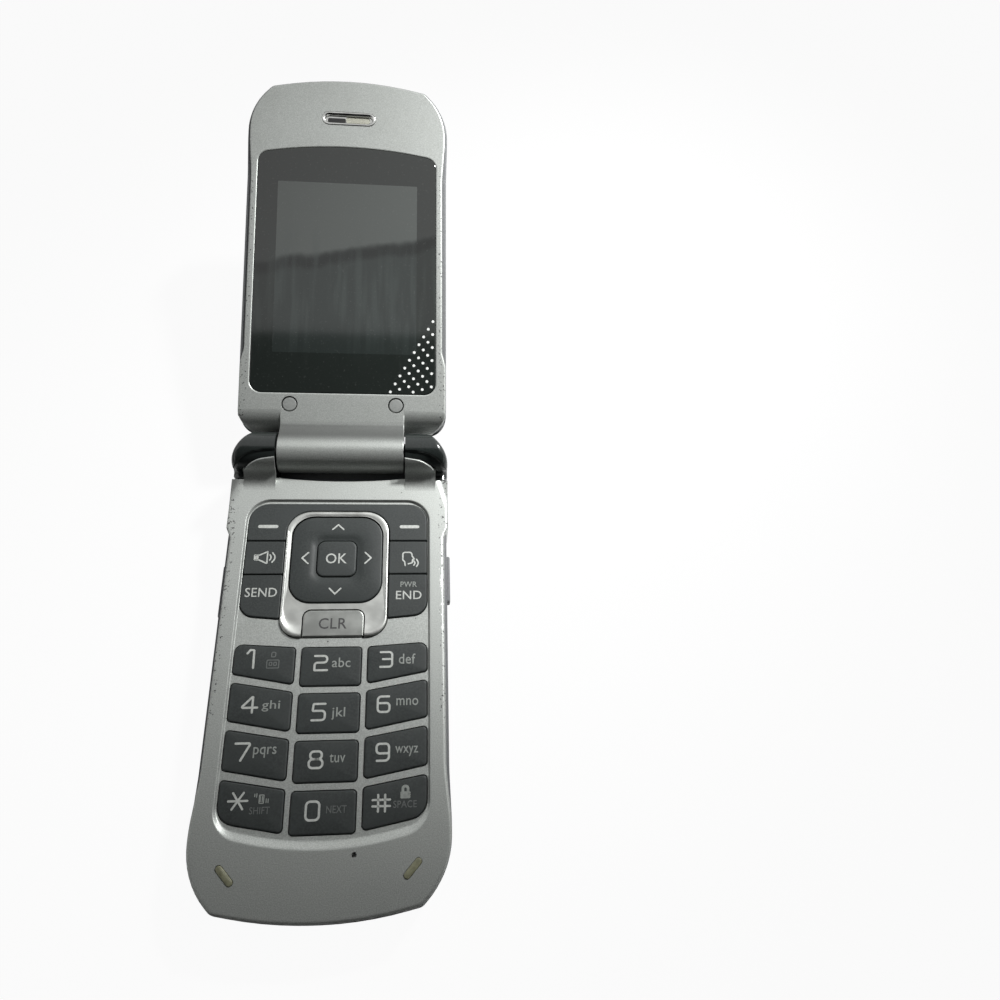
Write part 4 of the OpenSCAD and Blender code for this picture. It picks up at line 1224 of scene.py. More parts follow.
NUMBER_MARKS: dict[str, list[Mark]] = {
    "1": [
        Mark("1", (-16.6, -48.2, -14.1, -44.6)),
        Mark("tape", (-12.4, -48.3, -10.1, -45.1), DIM_INK, 0.2),
    ],
    "2": [Mark("2", (-3.4, -48.9, -0.55, -46.0)), words("abc", (0.2, -48.35, 3.8, -46.4))],
    "3": [Mark("3", (9.5, -48.4, 12.2, -45.4)), words("def", (13.3, -47.85, 16.6, -45.75))],
    "4": [Mark("4", (-16.7, -56.9, -13.45, -53.8)), words("ghi", (-12.6, -56.75, -9.2, -54.6))],
    "5": [Mark("5", (-3.25, -58.6, -0.4, -55.5)), words("jkl", (0.6, -58.6, 3.2, -56.2))],
    "6": [Mark("6", (9.15, -57.3, 11.85, -54.3)), words("mno", (12.95, -56.1, 17.2, -54.7))],
    "7": [Mark("7", (-16.9, -65.7, -13.8, -62.6)), words("pqrs", (-13.4, -65.3, -9.15, -63.3))],
    "8": [Mark("8", (-3.3, -67.4, -0.35, -64.4)), words("tuv", (0.7, -66.5, 3.6, -64.9))],
    "9": [Mark("9", (9.15, -66.4, 11.95, -63.3)), words("wxyz", (12.9, -65.7, 17.2, -63.8))],
    "star": [
        Mark("*", (-17.0, -74.4, -13.6, -71.2), stroke=0.38),
        words("SHIFT", (-13.1, -75.15, -9.5, -73.9), DIM_INK),
        Mark("buzz", (-12.4, -73.3, -9.9, -71.5), GREY_INK, 0.18),
    ],
    "0": [
        Mark("0", (-3.3, -76.5, -0.45, -73.3)), words("NEXT", (0.6, -75.4, 4.25, -74.1), DIM_INK)
    ],
    "hash": [
        Mark("#", (8.9, -75.4, 12.1, -72.5), stroke=0.4),
        words("SPACE", (12.7, -74.85, 17.0, -73.6), DIM_INK),
        Mark("lock", (13.9, -73.2, 15.9, -71.0), GREY_INK, 0.5),
    ],
}
CLUSTER_MARKS: dict[str, list[Mark]] = {
    "soft_key_bar": [
        Mark("-", (-16.5, -18.0, -13.0, -17.1), stroke=0.75),
        Mark("-", (13.4, -18.0, 16.9, -17.1), stroke=0.75),
    ],
    "speaker_key": [Mark("speaker", (-16.9, -26.1, -12.6, -23.4), stroke=0.3)],
    "voice_key": [Mark("talk", (13.7, -26.7, 17.2, -23.6), stroke=0.3)],
    "send_key": [words("SEND", (-18.1, -33.5, -11.7, -31.5), WHITE_INK)],
    "end_key": [
        words("PWR", (13.4, -31.5, 16.8, -30.3)),
        words("END", (12.5, -34.2, 17.8, -32.35), WHITE_INK),
    ],
}
RING_MARKS: list[Mark] = [
    Mark("^", (-1.15, -18.3, 1.15, -17.2), stroke=0.32),
    Mark("v", (-1.15, -33.0, 1.15, -31.8), stroke=0.32),
    Mark("<", (-7.15, -26.2, -5.9, -23.7), stroke=0.32),
    Mark(">", (5.9, -26.2, 7.15, -23.7), stroke=0.32),
]


@dataclass
class FrontHousing:
    """The silver key face with its tray, its full-width shoulders and the ears on the knuckles."""

    keypad: Keypad
    rim_width: float = 0.55
    rim_height: float = 0.55
    face_foot: float = 9.2
    wing_end: float = -18.6
    wing_foot: float = 2.4
    narrow: float = 22.55
    knuckle: float = 4.75
    ear_skin: float = 0.5
    ear_bend: float = 4.0
    top_angle: float = 129.6
    top_turn: float = 8.7
    corner: float = 4.2
    mic: Corner = (5.92, -82.5, 0.45)
    bumper: Corner = (16.35, -85.1, 48.4)

    def edge(self) -> tuple[list[Point], list[float], list[float]]:
        """The face's edge: its points, each one's share of the rim's rounding, and its foot."""
        far = phone_half(7.5, 0, self.narrow, rim=0.08).flipped()
        points = [p for p in far.points(8) if p[1] < self.wing_end - 2]
        wing = [
            (self.narrow, self.wing_end - 1.6), (self.narrow + 0.35, self.wing_end - 0.5),
            (PHONE.half_width, self.wing_end + 0.9), (PHONE.half_width, -13.0),
            (PHONE.half_width, -6.1),
        ]
        inner = [
            (PHONE.ear_outer, -6.1), (PHONE.ear_outer, -8.45), (PHONE.ear_inner, -8.45),
            (PHONE.ear_inner, -5.7),
        ]
        dip = [
            (x, -5.7 - 0.85 * (1 - (x / PHONE.ear_inner) ** 2))
            for x in (11, 8, 5, 2.5, 0, -2.5, -5, -8, -11)
        ]
        half = [*wing, *inner]
        left = [(-x, y) for x, y in reversed(half)]
        loop = points + half + dip + left
        square = 2 + 2 * len(inner) + len(dip)
        round_share = [1.0] * (len(points) + 4) + [0.0] * square + [1.0] * 4
        foot = [self.face_foot if y < self.wing_end - 0.6 else self.wing_foot for _, y in loop]
        return loop, round_share, foot

    def tray(self) -> tuple[Outline, Outline]:
        """The tray's lip and the edge of its floor."""
        half = PHONE.keys_half + 0.55
        lip = Outline.even((-half, -11.1, 5), (-half, -78.6, 5.5), (0, -83.3, 60))
        return lip, Outline.even(
            (-half + 0.33, -11.5, 4.7), (-half + 0.33, -77.0, 4.6), (0, -81.4, 60)
        )

    def face(self) -> None:
        """The face, with the tray, the key openings and the small holes."""
        skin = Skin()
        loop, shares, foot = self.edge()
        inward = inward_ways(loop)
        rings = [skin.ring(loop, foot)]
        flat = (self.rim_width + 0.2, PHONE.base_top)
        for inset, height in (
            *rounded_edge(self.rim_width, self.rim_height, PHONE.base_top, 6), flat
        ):
            points = [
                (p[0] + d.x * inset * s, p[1] + d.y * inset * s)
                for p, d, s in zip(loop, inward, shares)
            ]
            heights = [PHONE.base_top - (PHONE.base_top - height) * s for s in shares]
            rings.append(skin.ring(points, heights))
        skin.sew(rings)
        lip, floor = self.tray()
        steps = 10
        top = PHONE.base_top
        outer = lip.inset(-0.12)
        rim = skin.loft(lip.inset(-0.35), [(0, top), (0.23, top)], steps)
        holes = [rim[0]]
        mic = skin.ring(Outline.circle(*self.mic).points(6), top)
        mic_foot = skin.ring(Outline.circle(*self.mic).points(6), top - 1.2)
        skin.bridge(mic, mic_foot)
        holes.append(mic)
        for side in (1, -1):
            pill = Outline.pill(4.4, 1.4).turned(
                side * self.bumper[2], side * self.bumper[0], self.bumper[1]
            )
            a = skin.ring(pill.points(6), top)
            b = skin.ring(pill.points(6), top - 0.4)
            skin.bridge(a, b)
            skin.fill(b)
            holes.append(a)
        skin.fill(rings[-1], holes)
        fall = [
            (share, top + (PHONE.tray_floor - top) * (share * share * (3 - 2 * share)))
            for share in (0.1, 0.25, 0.45, 0.65, 0.85, 1.0)
        ]
        last = skin.sweep(rim[1], outer.points(steps), floor.points(steps), fall)
        mouths = []
        for outline in self.keypad.openings():
            walls = skin.loft(
                outline,
                [
                    (-0.05, PHONE.tray_floor), (0.0, PHONE.tray_floor - 0.05),
                    (0.0, PHONE.plate_foot),
                ],
                6,
            )
            mouths.append(walls[0])
        skin.fill(last, mouths)
        show(skin, "face", "base", [SILVER], ["front_housing"], sharp=35)

    def ears(self) -> None:
        """The two ears that carry the face up onto the knuckles."""
        radius = self.knuckle + self.ear_skin
        rise = HINGE_Z - PHONE.base_top
        bend_y = -math.sqrt((radius + self.ear_bend) ** 2 - (self.ear_bend - rise) ** 2)
        bend_z = PHONE.base_top + self.ear_bend
        lean = math.atan2(rise - self.ear_bend, -bend_y)
        columns = [0, 0.02, 0.06, *(0.12 + 0.08 * i for i in range(11)), 0.96, 0.985, 1.0]
        count, wide = len(columns), PHONE.ear_outer - PHONE.ear_inner
        for side in (1, -1):
            skin, layers = Skin(), []
            for inner in (False, True):
                grid = []
                for i in range(10):
                    t = -math.pi / 2 + (lean + math.pi / 2) * i / 9
                    y = bend_y + self.ear_bend * math.cos(t)
                    z = bend_z + self.ear_bend * math.sin(t)
                    if inner:
                        y, z = y + self.ear_skin * i / 9, PHONE.base_top - 0.02
                    grid += [(side * (PHONE.ear_inner + wide * c), y, z) for c in columns]
                for i in range(1, 21):
                    for c in columns:
                        top = math.radians(self.top_angle + self.top_turn * min(c / 0.7, 1.0))
                        share = (c * wide - (wide - self.corner)) / self.corner
                        if share > 0:
                            fall = 1 - math.sqrt(max(0.0, 1 - share * share))
                            top += self.corner * fall / radius
                        along = min(i / 18, 1.0)
                        t = math.pi + lean + (top - math.pi - lean) * along
                        edge = (0.0, 0.05, 0.18)[max(0, i - 18)]
                        t -= (0.0, 0.02, 0.03)[max(0, i - 18)]
                        r = self.knuckle if inner else radius - edge
                        x = side * (PHONE.ear_inner + wide * c)
                        grid.append((x, r * math.cos(t), HINGE_Z + r * math.sin(t)))
                layers.append(skin.add(grid))
            rows = len(layers[0]) // count
            for grid in layers:
                for r in range(rows - 1):
                    skin.bridge(
                        grid[r * count:(r + 1) * count], grid[(r + 1) * count:(r + 2) * count],
                        closed=False,
                    )
            front, back = layers
            for k in (0, count - 1):
                skin.bridge(front[k::count], back[k::count], closed=False)
            skin.bridge(front[-count:], back[-count:], closed=False)
            show(skin, "ear_right" if side > 0 else "ear_left", "base", [SILVER], sharp=60)

    def bumpers(self) -> None:
        """Two small rubber pills that keep the lid off the face."""
        skin = Skin()
        for side in (1, -1):
            pill = Outline.pill(4.2, 1.25).turned(
                side * self.bumper[2], side * self.bumper[0], self.bumper[1]
            )
            skin.loft(pill, [(0, 9.85), *rounded_edge(0.25, 0.2, PHONE.base_top + 0.15)], 6)
            skin.pillow(pill.inset(0.25), 0.1, PHONE.base_top + 0.15, 6)
        show(skin, "bumper_pads", "base", [BUMPER], ["rubber_bumpers"])

    def build(self) -> None:
        """Makes the face, its ears and the bumpers."""
        self.face()
        self.ears()
        self.bumpers()


@dataclass
class Knuckles:
    """The gloss black hinge covers beside the barrel, each stepped down beside its ear."""

    radius: float = 4.7
    foot: float = 3.0
    front: float = -5.9
    reach: float = 23.5
    end_round: float = 1.5
    step: float = 0.35
    draw_in: Point = (0.073, 1.75)
    step_bend: Corner = (17.5, 5.8, 5.6)

    def end_at(self, y: float) -> float:
        """Where the cover ends, at a place along the phone: it draws in towards the lid."""
        amount, power = self.draw_in
        return self.reach - amount * max(0.0, y + 5.0) ** power

    def step_at(self, x: float) -> float:
        """How far round from the cover's top the step runs, in millimetres of its skin."""
        start, wide, high = self.step_bend
        share = min(max((x - start) / wide, 0.0), 1.0)
        return 1.4 + 0.1 * (x - 14) + high * (1 - math.sqrt(1 - share * share))

    def section(self) -> list[tuple[float, float, float, float, float]]:
        """The cover's side view: y, z, the inward direction, and the way round from the top."""
        r = self.radius
        rows = [(r, self.foot, -1.0, 0.0, -9.0), (r, HINGE_Z - 2, -1.0, 0.0, -9.0)]
        for i in range(91):
            t = math.radians(2 * i)
            c, d = math.cos(t), math.sin(t)
            rows.append((r * c, HINGE_Z + r * d, -c, -d, (t - math.pi / 2) * r))
        low = PHONE.base_top - 0.02
        rows += [
            (-r, HINGE_Z - 0.3, 1.0, 0.0, 9.0), (-r, low + 0.2, 1.0, 0.0, 9.0),
            (-r - 0.2, low, 0.7, -0.7, 9.0),
        ]
        rows += [(self.front, low, 0.7, -0.7, 9.0), (self.front, self.foot, 1.0, 0.0, 9.0)]
        return rows

    def build(self) -> None:
        """Makes both covers."""
        shares = [0, *(0.3 + 0.7 * i / 30 for i in range(25))]
        shares += [1 - (1 - shares[-1]) * (1 - k / 8) ** 2 for k in range(1, 9)]
        for side, node in ((-1, "hinge_cover_left"), (1, "hinge_cover_right")):
            skin, rings = Skin(), []
            for share in shares:
                ring = []
                for y, z, dy, dz, way in self.section():
                    end = self.end_at(y)
                    x = PHONE.ear_inner + (end - PHONE.ear_inner) * share
                    near = max(0.0, self.end_round - (end - x))
                    inset = self.end_round - math.sqrt(max(0.0, self.end_round ** 2 - near ** 2))
                    if way < 9.0:
                        fall = min(max((way - self.step_at(x)) / 0.22, 0.0), 1.0)
                        inset += self.step * fall * fall * (3 - 2 * fall)
                    elif y < -self.radius + 0.1:
                        inset += self.step
                    ring.append((side * x, y + dy * inset, z + dz * inset))
                rings.append(skin.add(ring))
            skin.sew(rings, ends=True)
            show(
                skin, f"knuckle_{'left' if side < 0 else 'right'}", "base", [GLOSS], [node],
                sharp=50,
            )


@dataclass
class RearHousing:
    """The darker rear shell, the battery cover under it, and the keys and flap in its sides."""

    edge: float = 2.0
    height: float = 2.2
    cover: float = 1.1
    cover_start: float = -31.0
    # Opposite corners of what is taken out for the battery cover, the battery, the ears, both
    # knuckles, the lid's barrel, the side key, the rocker and the charging port
    bays: tuple[tuple[Corner, Corner], ...] = (
        ((-30, -100, -1), (30, -31.0, 1.2)),
        ((-18.4, -84.0, 0.9), (18.4, -32.0, 6.0)),
        ((-30, -18.65, 2.35), (30, -7.4, 12)),
        ((-30, -7.39, 3.0), (-13.9, 20, 12)),
        ((13.9, -7.39, 3.0), (30, 20, 12)),
        ((-30, -7.38, 6.2), (30, 20, 12.1)),
        ((20.9, -33.72, 4.18), (30, -22.78, 6.62)),
        ((-30, -36.62, 4.18), (-20.9, -24.88, 6.62)),
        ((-5.12, -110, 3.08), (5.12, -92.08, 7.32)),
    )

    def shell_layers(self) -> list[Point]:
        """The rounded foot, the plain wall, and the ledge that shows round the face."""
        return [
            *rounded_foot(self.edge, self.height), (0.0, 8.5), (0.12, 8.95), (0.4, 9.2), (0.8, 9.3),
            (1.35, 9.3), (1.4, PHONE.seam),
        ]

    def outline(self) -> Outline:
        """The whole base from above."""
        return phone_half(-4.9, 8, PHONE.base_side).flipped()

    def shell(self) -> None:
        """The rear shell with its bays, slots and holes."""
        skin = Skin()
        skin.solid(self.outline(), self.shell_layers(), 10)
        cut = Skin()
        for low, high in self.bays[:6]:
            cut.box(low, high)
        cut.rod(-14.2, 14.2, 4.6, 0, HINGE_Z)
        for low, high in self.bays[6:]:
            cut.box(low, high)
        for i in range(-2, 3):
            cut.prism(Outline.pill(7 - 1.2 * abs(i), 1.0).turned(90, 9 + 2.2 * i, -19), -1, 1.6, 6)
        for side in (1, -1):
            cut.prism(Outline.circle(side * 19.2, -10.8, 1.4), -1, 1.05, 8)
        cut.prism(Outline.box(-4.1, -31.5, 4.1, -29.0), 0.4, 1.6)
        show(skin, "rear_shell", "base", [SIDE], ["rear_housing"], cut, sharp=32)

    def battery_lid(self) -> None:
        """The battery cover with its grip grooves."""
        skin = Skin()
        curve = [layer for layer in self.shell_layers() if layer[1] < self.cover - 0.02]
        share = 1 - self.cover / self.height
        at_top = self.edge * (1 - math.sqrt(1 - share * share))
        skin.solid(self.outline(), [*curve, (at_top, self.cover)], 10)
        cut = Skin()
        cut.box((-30, self.cover_start - 0.1, -1), (30, 30, 3))
        for i in range(5):
            cut.prism(
                Outline.pill(16 - 1.6 * i, 0.7, 0, self.cover_start - 4 - 1.6 * i), -1, 0.3, 6
            )
        show(skin, "battery_lid", "battery_cover", [BACK], ["battery_cover"], cut, sharp=32)

    def side_button(
        self, side: int, span: Point, name: str, body: str, node: str, ribs: int
    ) -> None:
        """A side key, with fine ribs across its cap."""
        skin = Skin()
        mid, half = (span[0] + span[1]) / 2, (span[1] - span[0]) / 2
        rings = []
        for x, inset in ((21.25, 0.0), (23.55, 0.0), (23.75, 0.06), (23.86, 0.2), (23.9, 0.4)):
            outline = Outline.box(
                -half + inset, 4.3 + inset, half - inset, 6.5 - inset, max(0.5 - inset, 0.1)
            )
            rings.append(skin.add((side * x, mid + y, z) for y, z in outline.points(5)))
        skin.sew(rings, ends=True)
        cut = Skin()
        for k in range(ribs):
            y = mid + (k - (ribs - 1) / 2) * 1.3
            cut.box((side * 23.8 - 0.15, y - 0.15, 4.7), (side * 23.8 + 0.25, y + 0.15, 6.1))
        show(skin, name, body, [SIDE], [node], cut if ribs else None, sharp=35)

    def flap(self) -> None:
        """The rubber cover of the charging port, with slightly bevelled edges."""
        skin = Skin()
        outline = self.outline()
        rows = []
        for inset in (0.0, 0.1):
            edge = [p for p in outline.inset(inset).points(16) if p[1] < -80 and abs(p[0]) < 8]
            edge.sort()
            rows.append(edge)
        xs = [-5 + i for i in range(11)]

        def reach(x: float, edge: list[Point]) -> float:
            """The edge's y at x."""
            for (x0, y0), (x1, y1) in zip(edge, edge[1:]):
                if x0 <= x <= x1:
                    return y0 + (y1 - y0) * (x - x0) / (x1 - x0)
            return edge[0][1]

        back = [(x, -92.25) for x in xs]
        layers = ((3.2, rows[1]), (3.35, rows[0]), (7.05, rows[0]), (7.2, rows[1]))
        rings = []
        for z, edge in layers:
            points = [(x, reach(x, edge)) for x in xs] + list(reversed(back))
            rings.append(skin.ring(points, z))
        skin.sew(rings, ends=True)
        show(skin, "port_flap", "port_cover", [SIDE], ["port_cover"], sharp=35)

    def build(self) -> None:
        """Makes the shell, the battery cover and the pieces in the sides."""
        self.shell()
        self.battery_lid()
        self.side_button(1, (-33.6, -22.9), "side_key_cap", "side_key", "side_key", 3)
        self.side_button(-1, (-36.5, -25.0), "rocker_cap", "volume_rocker", "volume_rocker", 0)
        self.flap()


# ---- the lid --------------------------------------------------------------------------------


@dataclass
class Lid:
    """The lid: silver inner face with barrel, darker outer shell, window, earpiece, plugs."""

    barrel: float = 4.3
    roll: float = 4.5
    roll_start: float = 10.0
    neck_start: float = 9.0
    hollow: float = 7.0
    crease: float = 5.5
    rim: float = 0.35
    face_side: float = 22.35
    wing_side: float = 23.12
    wing_end: float = 23.2
    tip_rim: float = 0.5
    stations: tuple[float, ...] = (15.5, 17.5, 19.5)
    window: Outline = Outline.even(
        (20.8, 13.95, 2.7), (20.8, 72.45, 2.7), (0, 76.25, bow(20.8, 3.8))
    )
    display: Outline = Outline.box(-16.05, 23.4, 16.35, 65.3, 0.2)
    earpiece_at: float = 82.1
    plugs: Point = (11.85, 11.3)
    plug_radius: float = 1.53
    plug_hole: float = 1.8
    back_window: Outline = Outline.box(-12.5, 34, 12.5, 70, 6)
    camera_at: float = 64.5
    camera_radius: float = 2.88
    camera_hole: float = 2.95
    dots_from: Point = (20.2, 31.6)
    dots_along: Point = (-1.07, -1.9)
    dots_across: Point = (1.0, -1.25)
    dot_radius: float = 0.33

    def outline(self) -> Outline:
        """The whole lid from above."""
        return phone_half(5.2, 4.5, PHONE.lid_side, short=PHONE.lid_short)

    def inner_face(self) -> None:
        """The silver face from the shoulders' start to the tip, with window recess and holes."""
        skin = Skin()
        full = phone_half(5.2, 4.5, self.face_side, rim=self.tip_rim, short=PHONE.lid_short)
        points = [p for p in full.points(10) if p[1] > self.wing_end + 2]
        step = self.wing_side - self.face_side
        wing = [
            (self.wing_side, self.roll_start), (self.wing_side, self.wing_end - 2.7),
            (self.wing_side - 0.12 * step, self.wing_end - 2.0),
            (self.face_side + 0.5 * step, self.wing_end - 0.6),
            (self.face_side + 0.12 * step, self.wing_end + 0.5),
            (self.face_side, self.wing_end + 1.2),
        ]
        loop = [*wing, *points, *((-x, y) for x, y in reversed(wing))]
        loop = [p for i, p in enumerate(loop) if i == 0 or math.dist(p, loop[i - 1]) > 0.02]
        top = PHONE.lid_face
        inward = inward_ways(loop, closed=False)
        inward[0], inward[-1] = Vector((-1, 0)), Vector((1, 0))
        rings = [skin.ring(loop, top - 1.5)]
        for inset, height in (*rounded_edge(self.rim, self.rim, top, 4), (self.rim + 0.2, top)):
            ring = [(p[0] + d.x * inset, p[1] + d.y * inset) for p, d in zip(loop, inward)]
            rings.append(skin.ring(ring, height))
        skin.sew(rings, closed=False)
        holes = []
        lip = skin.loft(
            self.window.inset(-0.4), [(0, top), (0.18, top), (0.32, top - 0.1), (0.38, top - 0.9)],
            10,
        )
        holes.append(lip[0])
        for outline, depth in (
            (Outline.pill(12.7, 3.5, 0, self.earpiece_at), 1.0),
            (Outline.circle(self.plugs[0], self.plugs[1], self.plug_hole), 0.6),
            (Outline.circle(-self.plugs[0], self.plugs[1], self.plug_hole), 0.6),
        ):
            walls = skin.loft(
                outline, [(-0.2, top), (-0.05, top), (0, top - 0.05), (0, top - depth)], 8
            )
            holes.append(walls[0])
        steps_in = [PHONE.barrel_half, *self.stations]
        left = skin.ring([(-x, self.roll_start) for x in reversed(steps_in)], top)
        right = skin.ring([(x, self.roll_start) for x in steps_in], top)
        self.shoulders(skin)
        skin.fill([*rings[-1], *left, *self.hinge_barrel(skin), *right], holes)
        show(skin, "lid_face", "lid", [LID_SILVER, SIDE], ["lid_inner_housing"], sharp=38)

    def shoulders(self, skin: Skin) -> None:
        """The two rolls that take the face down beside the barrel."""
        foot = PHONE.lid_face - self.roll
        for side in (1, -1):
            rows, feet = [], []
            for i in range(13):
                t = math.pi / 2 * (1 + i / 12)
                v, w = self.roll_start + self.roll * math.cos(t), foot + self.roll * math.sin(t)
                outer = self.wing_side
                if v < 9.7:
                    outer -= 4.5 * (1 - math.sqrt(max(0.0, 1 - ((9.7 - v) / 4.5) ** 2)))
                edge = [
                    (self.rim + 0.2, PHONE.lid_face),
                    *reversed(rounded_edge(self.rim, self.rim, PHONE.lid_face, 4)),
                ]
                xs = [PHONE.barrel_half, *self.stations, *(outer - inset for inset, _ in edge)]
                drop = [0] * (1 + len(self.stations))
                drop += [PHONE.lid_face - height for _, height in edge]
                lean = Vector((math.cos(t), math.sin(t)))
                rows.append(
                    skin.add((side * x, v - lean.x * d, w - lean.y * d) for x, d in zip(xs, drop))
                )
                feet += skin.add([(side * outer, v - lean.x * drop[-1], foot - 0.1)])
            skin.sew(rows, closed=False)
            skin.bridge([row[-1] for row in rows], feet, finish=1, closed=False)

    def hinge_barrel(self, skin: Skin) -> list[int]:
        """The barrel and the hollow up to it from the face; returns its row in the face."""
        r, (crease, face) = self.barrel, (self.crease, PHONE.lid_face)
        meet = math.atan2(face, crease) + math.acos(r / math.hypot(crease, face))
        top = (r * math.cos(meet), r * math.sin(meet))
        profile = [(self.neck_start, face), (self.hollow + 0.3, face), (self.hollow, face)]
        for t in (0.15, 0.3, 0.45, 0.6, 0.75, 0.9, 1.0):
            a, b, c = (1 - t) ** 2, 2 * t * (1 - t), t * t
            profile.append((a * self.hollow + b * crease + c * top[0], (a + b) * face + c * top[1]))
        end = math.radians(322)
        for i in range(1, 41):
            t = meet + (end - meet) * i / 40
            profile.append((r * math.cos(t), r * math.sin(t)))
        profile += [(5.4, -4.0), (9.4, -4.0), (9.4, -1.0)]
        half = PHONE.barrel_half
        stations = [
            (-half, 0.18), (-half + 0.06, 0.06), (-half + 0.2, 0.0), (half - 0.2, 0.0),
            (half - 0.06, 0.06), (half, 0.18),
        ]
        rows = []
        for x, inset in stations:
            row = []
            for k, (v, w) in enumerate(profile):
                a, b = profile[max(k - 1, 0)], profile[min(k + 1, len(profile) - 1)]
                along = Vector((b[0] - a[0], b[1] - a[1])).normalized()
                inset_here = inset if k else 0.0
                row.append((x, v - along.y * inset_here, w + along.x * inset_here))
            rows.append(skin.add(row))
        skin.sew(rows, closed=False, ends=True)
        return [row[0] for row in rows]

    def outer_shell(self) -> None:
        """The darker outer shell with its rounded back edge."""
        skin = Skin()
        back = PHONE.lid_back
        seam = [(0.0, -0.5), (0.1, -0.22), (0.35, -0.1), (1.2, -0.1)]
        skin.solid(self.outline(), [*rounded_foot(2.2, 2.3, back), *seam], 10)
        cut = Skin()
        cut.prism(self.outline().inset(1.22), -1.05, 3, 10)
        cut.box((-self.wing_side, 0, -4.05), (self.wing_side, 9.9, 3))
        cut.prism(self.back_window.inset(-0.05), back - 1, back + 0.9, 8)
        cut.prism(Outline.circle(0, self.camera_at, self.camera_hole), back - 1, back + 3, 8)
        show(skin, "lid_shell", "lid", [SIDE], ["lid_outer_housing"], cut, sharp=32)

    def glass(self) -> None:
        """The window with the display behind it, and the row of dots in its corner."""
        skin = Skin()
        top = PHONE.lid_face - 0.02
        rings = skin.loft(
            self.window,
            [(0, top - 0.85), (0, top - 0.14), (0.05, top - 0.05), (0.14, top), (0.2, top)], 10,
        )
        skin.fill(rings[0])
        screen = skin.ring(self.display.points(2), top)
        skin.fill(rings[-1], [screen])
        skin.fill(screen, finish=1)
        show(skin, "window", "lid", [WINDOW, DISPLAY], ["display_window"], sharp=30)
        dots = Skin()
        start, along = Vector(self.dots_from), Vector(self.dots_along)
        across = Vector(self.dots_across)
        limit = self.window.inset(0.45).points(10)
        angles = [2 * math.pi * k / 14 for k in range(14)]
        circle = [(self.dot_radius * math.cos(t), self.dot_radius * math.sin(t)) for t in angles]
        for i in range(10):
            for j in range(8):
                p = start + along * i + across * j
                if not within((p.x, p.y), limit):
                    continue
                ring = dots.ring([(p.x + x, p.y + y) for x, y in circle], top + 0.012)
                dots.faces.append((tuple(ring), 0))
        show(dots, "window_dots", "lid", [DOT_INK])

    def earpiece(self) -> None:
        """The chrome trim with its dark and pale bottom."""
        skin = Skin()
        top, v = PHONE.lid_face, self.earpiece_at
        rim = Outline.pill(12.6, 3.4, 0, v)
        rings = skin.loft(
            rim,
            [
                (0, -0.5), (0, top), (0.06, top + 0.07), (0.2, top + 0.1), (0.4, top + 0.08),
                (0.62, top - 0.03), (0.78, top - 0.3), (0.85, top - 0.55),
            ],
            10,
        )
        skin.fill(rings[-1])
        show(skin, "earpiece_rim", "lid", [CHROME], ["earpiece_trim"], sharp=50)
        pads = Skin()
        pads.prism(Outline.box(-5.0, v - 0.8, -0.75, v + 0.35, 0.4), top - 0.56, top - 0.5, 4)
        pads.prism(Outline.box(-0.7, v - 0.8, 5.0, v + 0.8, 0.6), top - 0.56, top - 0.49, 4, 1)
        show(pads, "earpiece_pads", "lid", [BLACK, FELT])

    def small_pieces(self) -> None:
        """The screw plugs, the outer window and the camera."""
        skin = Skin()
        for side in (1, -1):
            plug = Outline.circle(side * self.plugs[0], self.plugs[1], self.plug_radius)
            skin.loft(plug, [(0, -0.1), *rounded_edge(0.12, 0.1, PHONE.lid_face - 0.14, 3)], 8)
            skin.pillow(plug.inset(0.12), 0.04, PHONE.lid_face - 0.14, 8)
        show(skin, "plugs", "lid", [PLUG], ["screw_plugs"])
        back = PHONE.lid_back
        pane = Skin()
        rings = pane.loft(
            self.back_window,
            [(0, back + 0.85), (0, back + 0.12), (0.05, back + 0.04), (0.15, back), (0.2, back)],
            10,
        )
        pane.fill(rings[0])
        hole = pane.loft(
            Outline.circle(0, self.camera_at, self.camera_hole), [(0, back), (0, back + 0.85)], 10
        )
        pane.fill(rings[-1], [hole[0]])
        show(pane, "outer_pane", "lid", [GLOSS], ["outer_window"], sharp=35)
        lens = Skin()
        eye = Outline.circle(0, self.camera_at, self.camera_radius)
        lens.loft(
            eye,
            [
                (0, back + 1.5), (0, back - 0.05), (0.1, back - 0.15), (0.55, back - 0.15),
                (0.8, back + 0.05), (0.9, back + 0.4),
            ],
            12,
        )
        lens.loft(eye.inset(0.9), [(0, back + 0.4), (0.9, back + 0.3)], 12, 1)
        lens.pillow(eye.inset(0.9), -0.28, back + 0.4, 12, 1)
        show(lens, "camera_eye", "lid", [STEEL, GLOSS], ["camera_lens"], sharp=40)

    def build(self) -> None:
        """Makes every piece of the lid."""
        self.inner_face()
        self.outer_shell()
        self.glass()
        self.earpiece()
        self.small_pieces()


def within(point: Point, loop: Sequence[Point]) -> bool:
    """Whether a point lies inside a closed loop."""
    x, y = point
    inside = False
    for (x0, y0), (x1, y1) in zip(loop, [*loop[1:], loop[0]]):
        if (y0 > y) != (y1 > y) and x < x0 + (x1 - x0) * (y - y0) / (y1 - y0):
            inside = not inside
    return inside


# ---- what keeps its shape -------------------------------------------------------------------


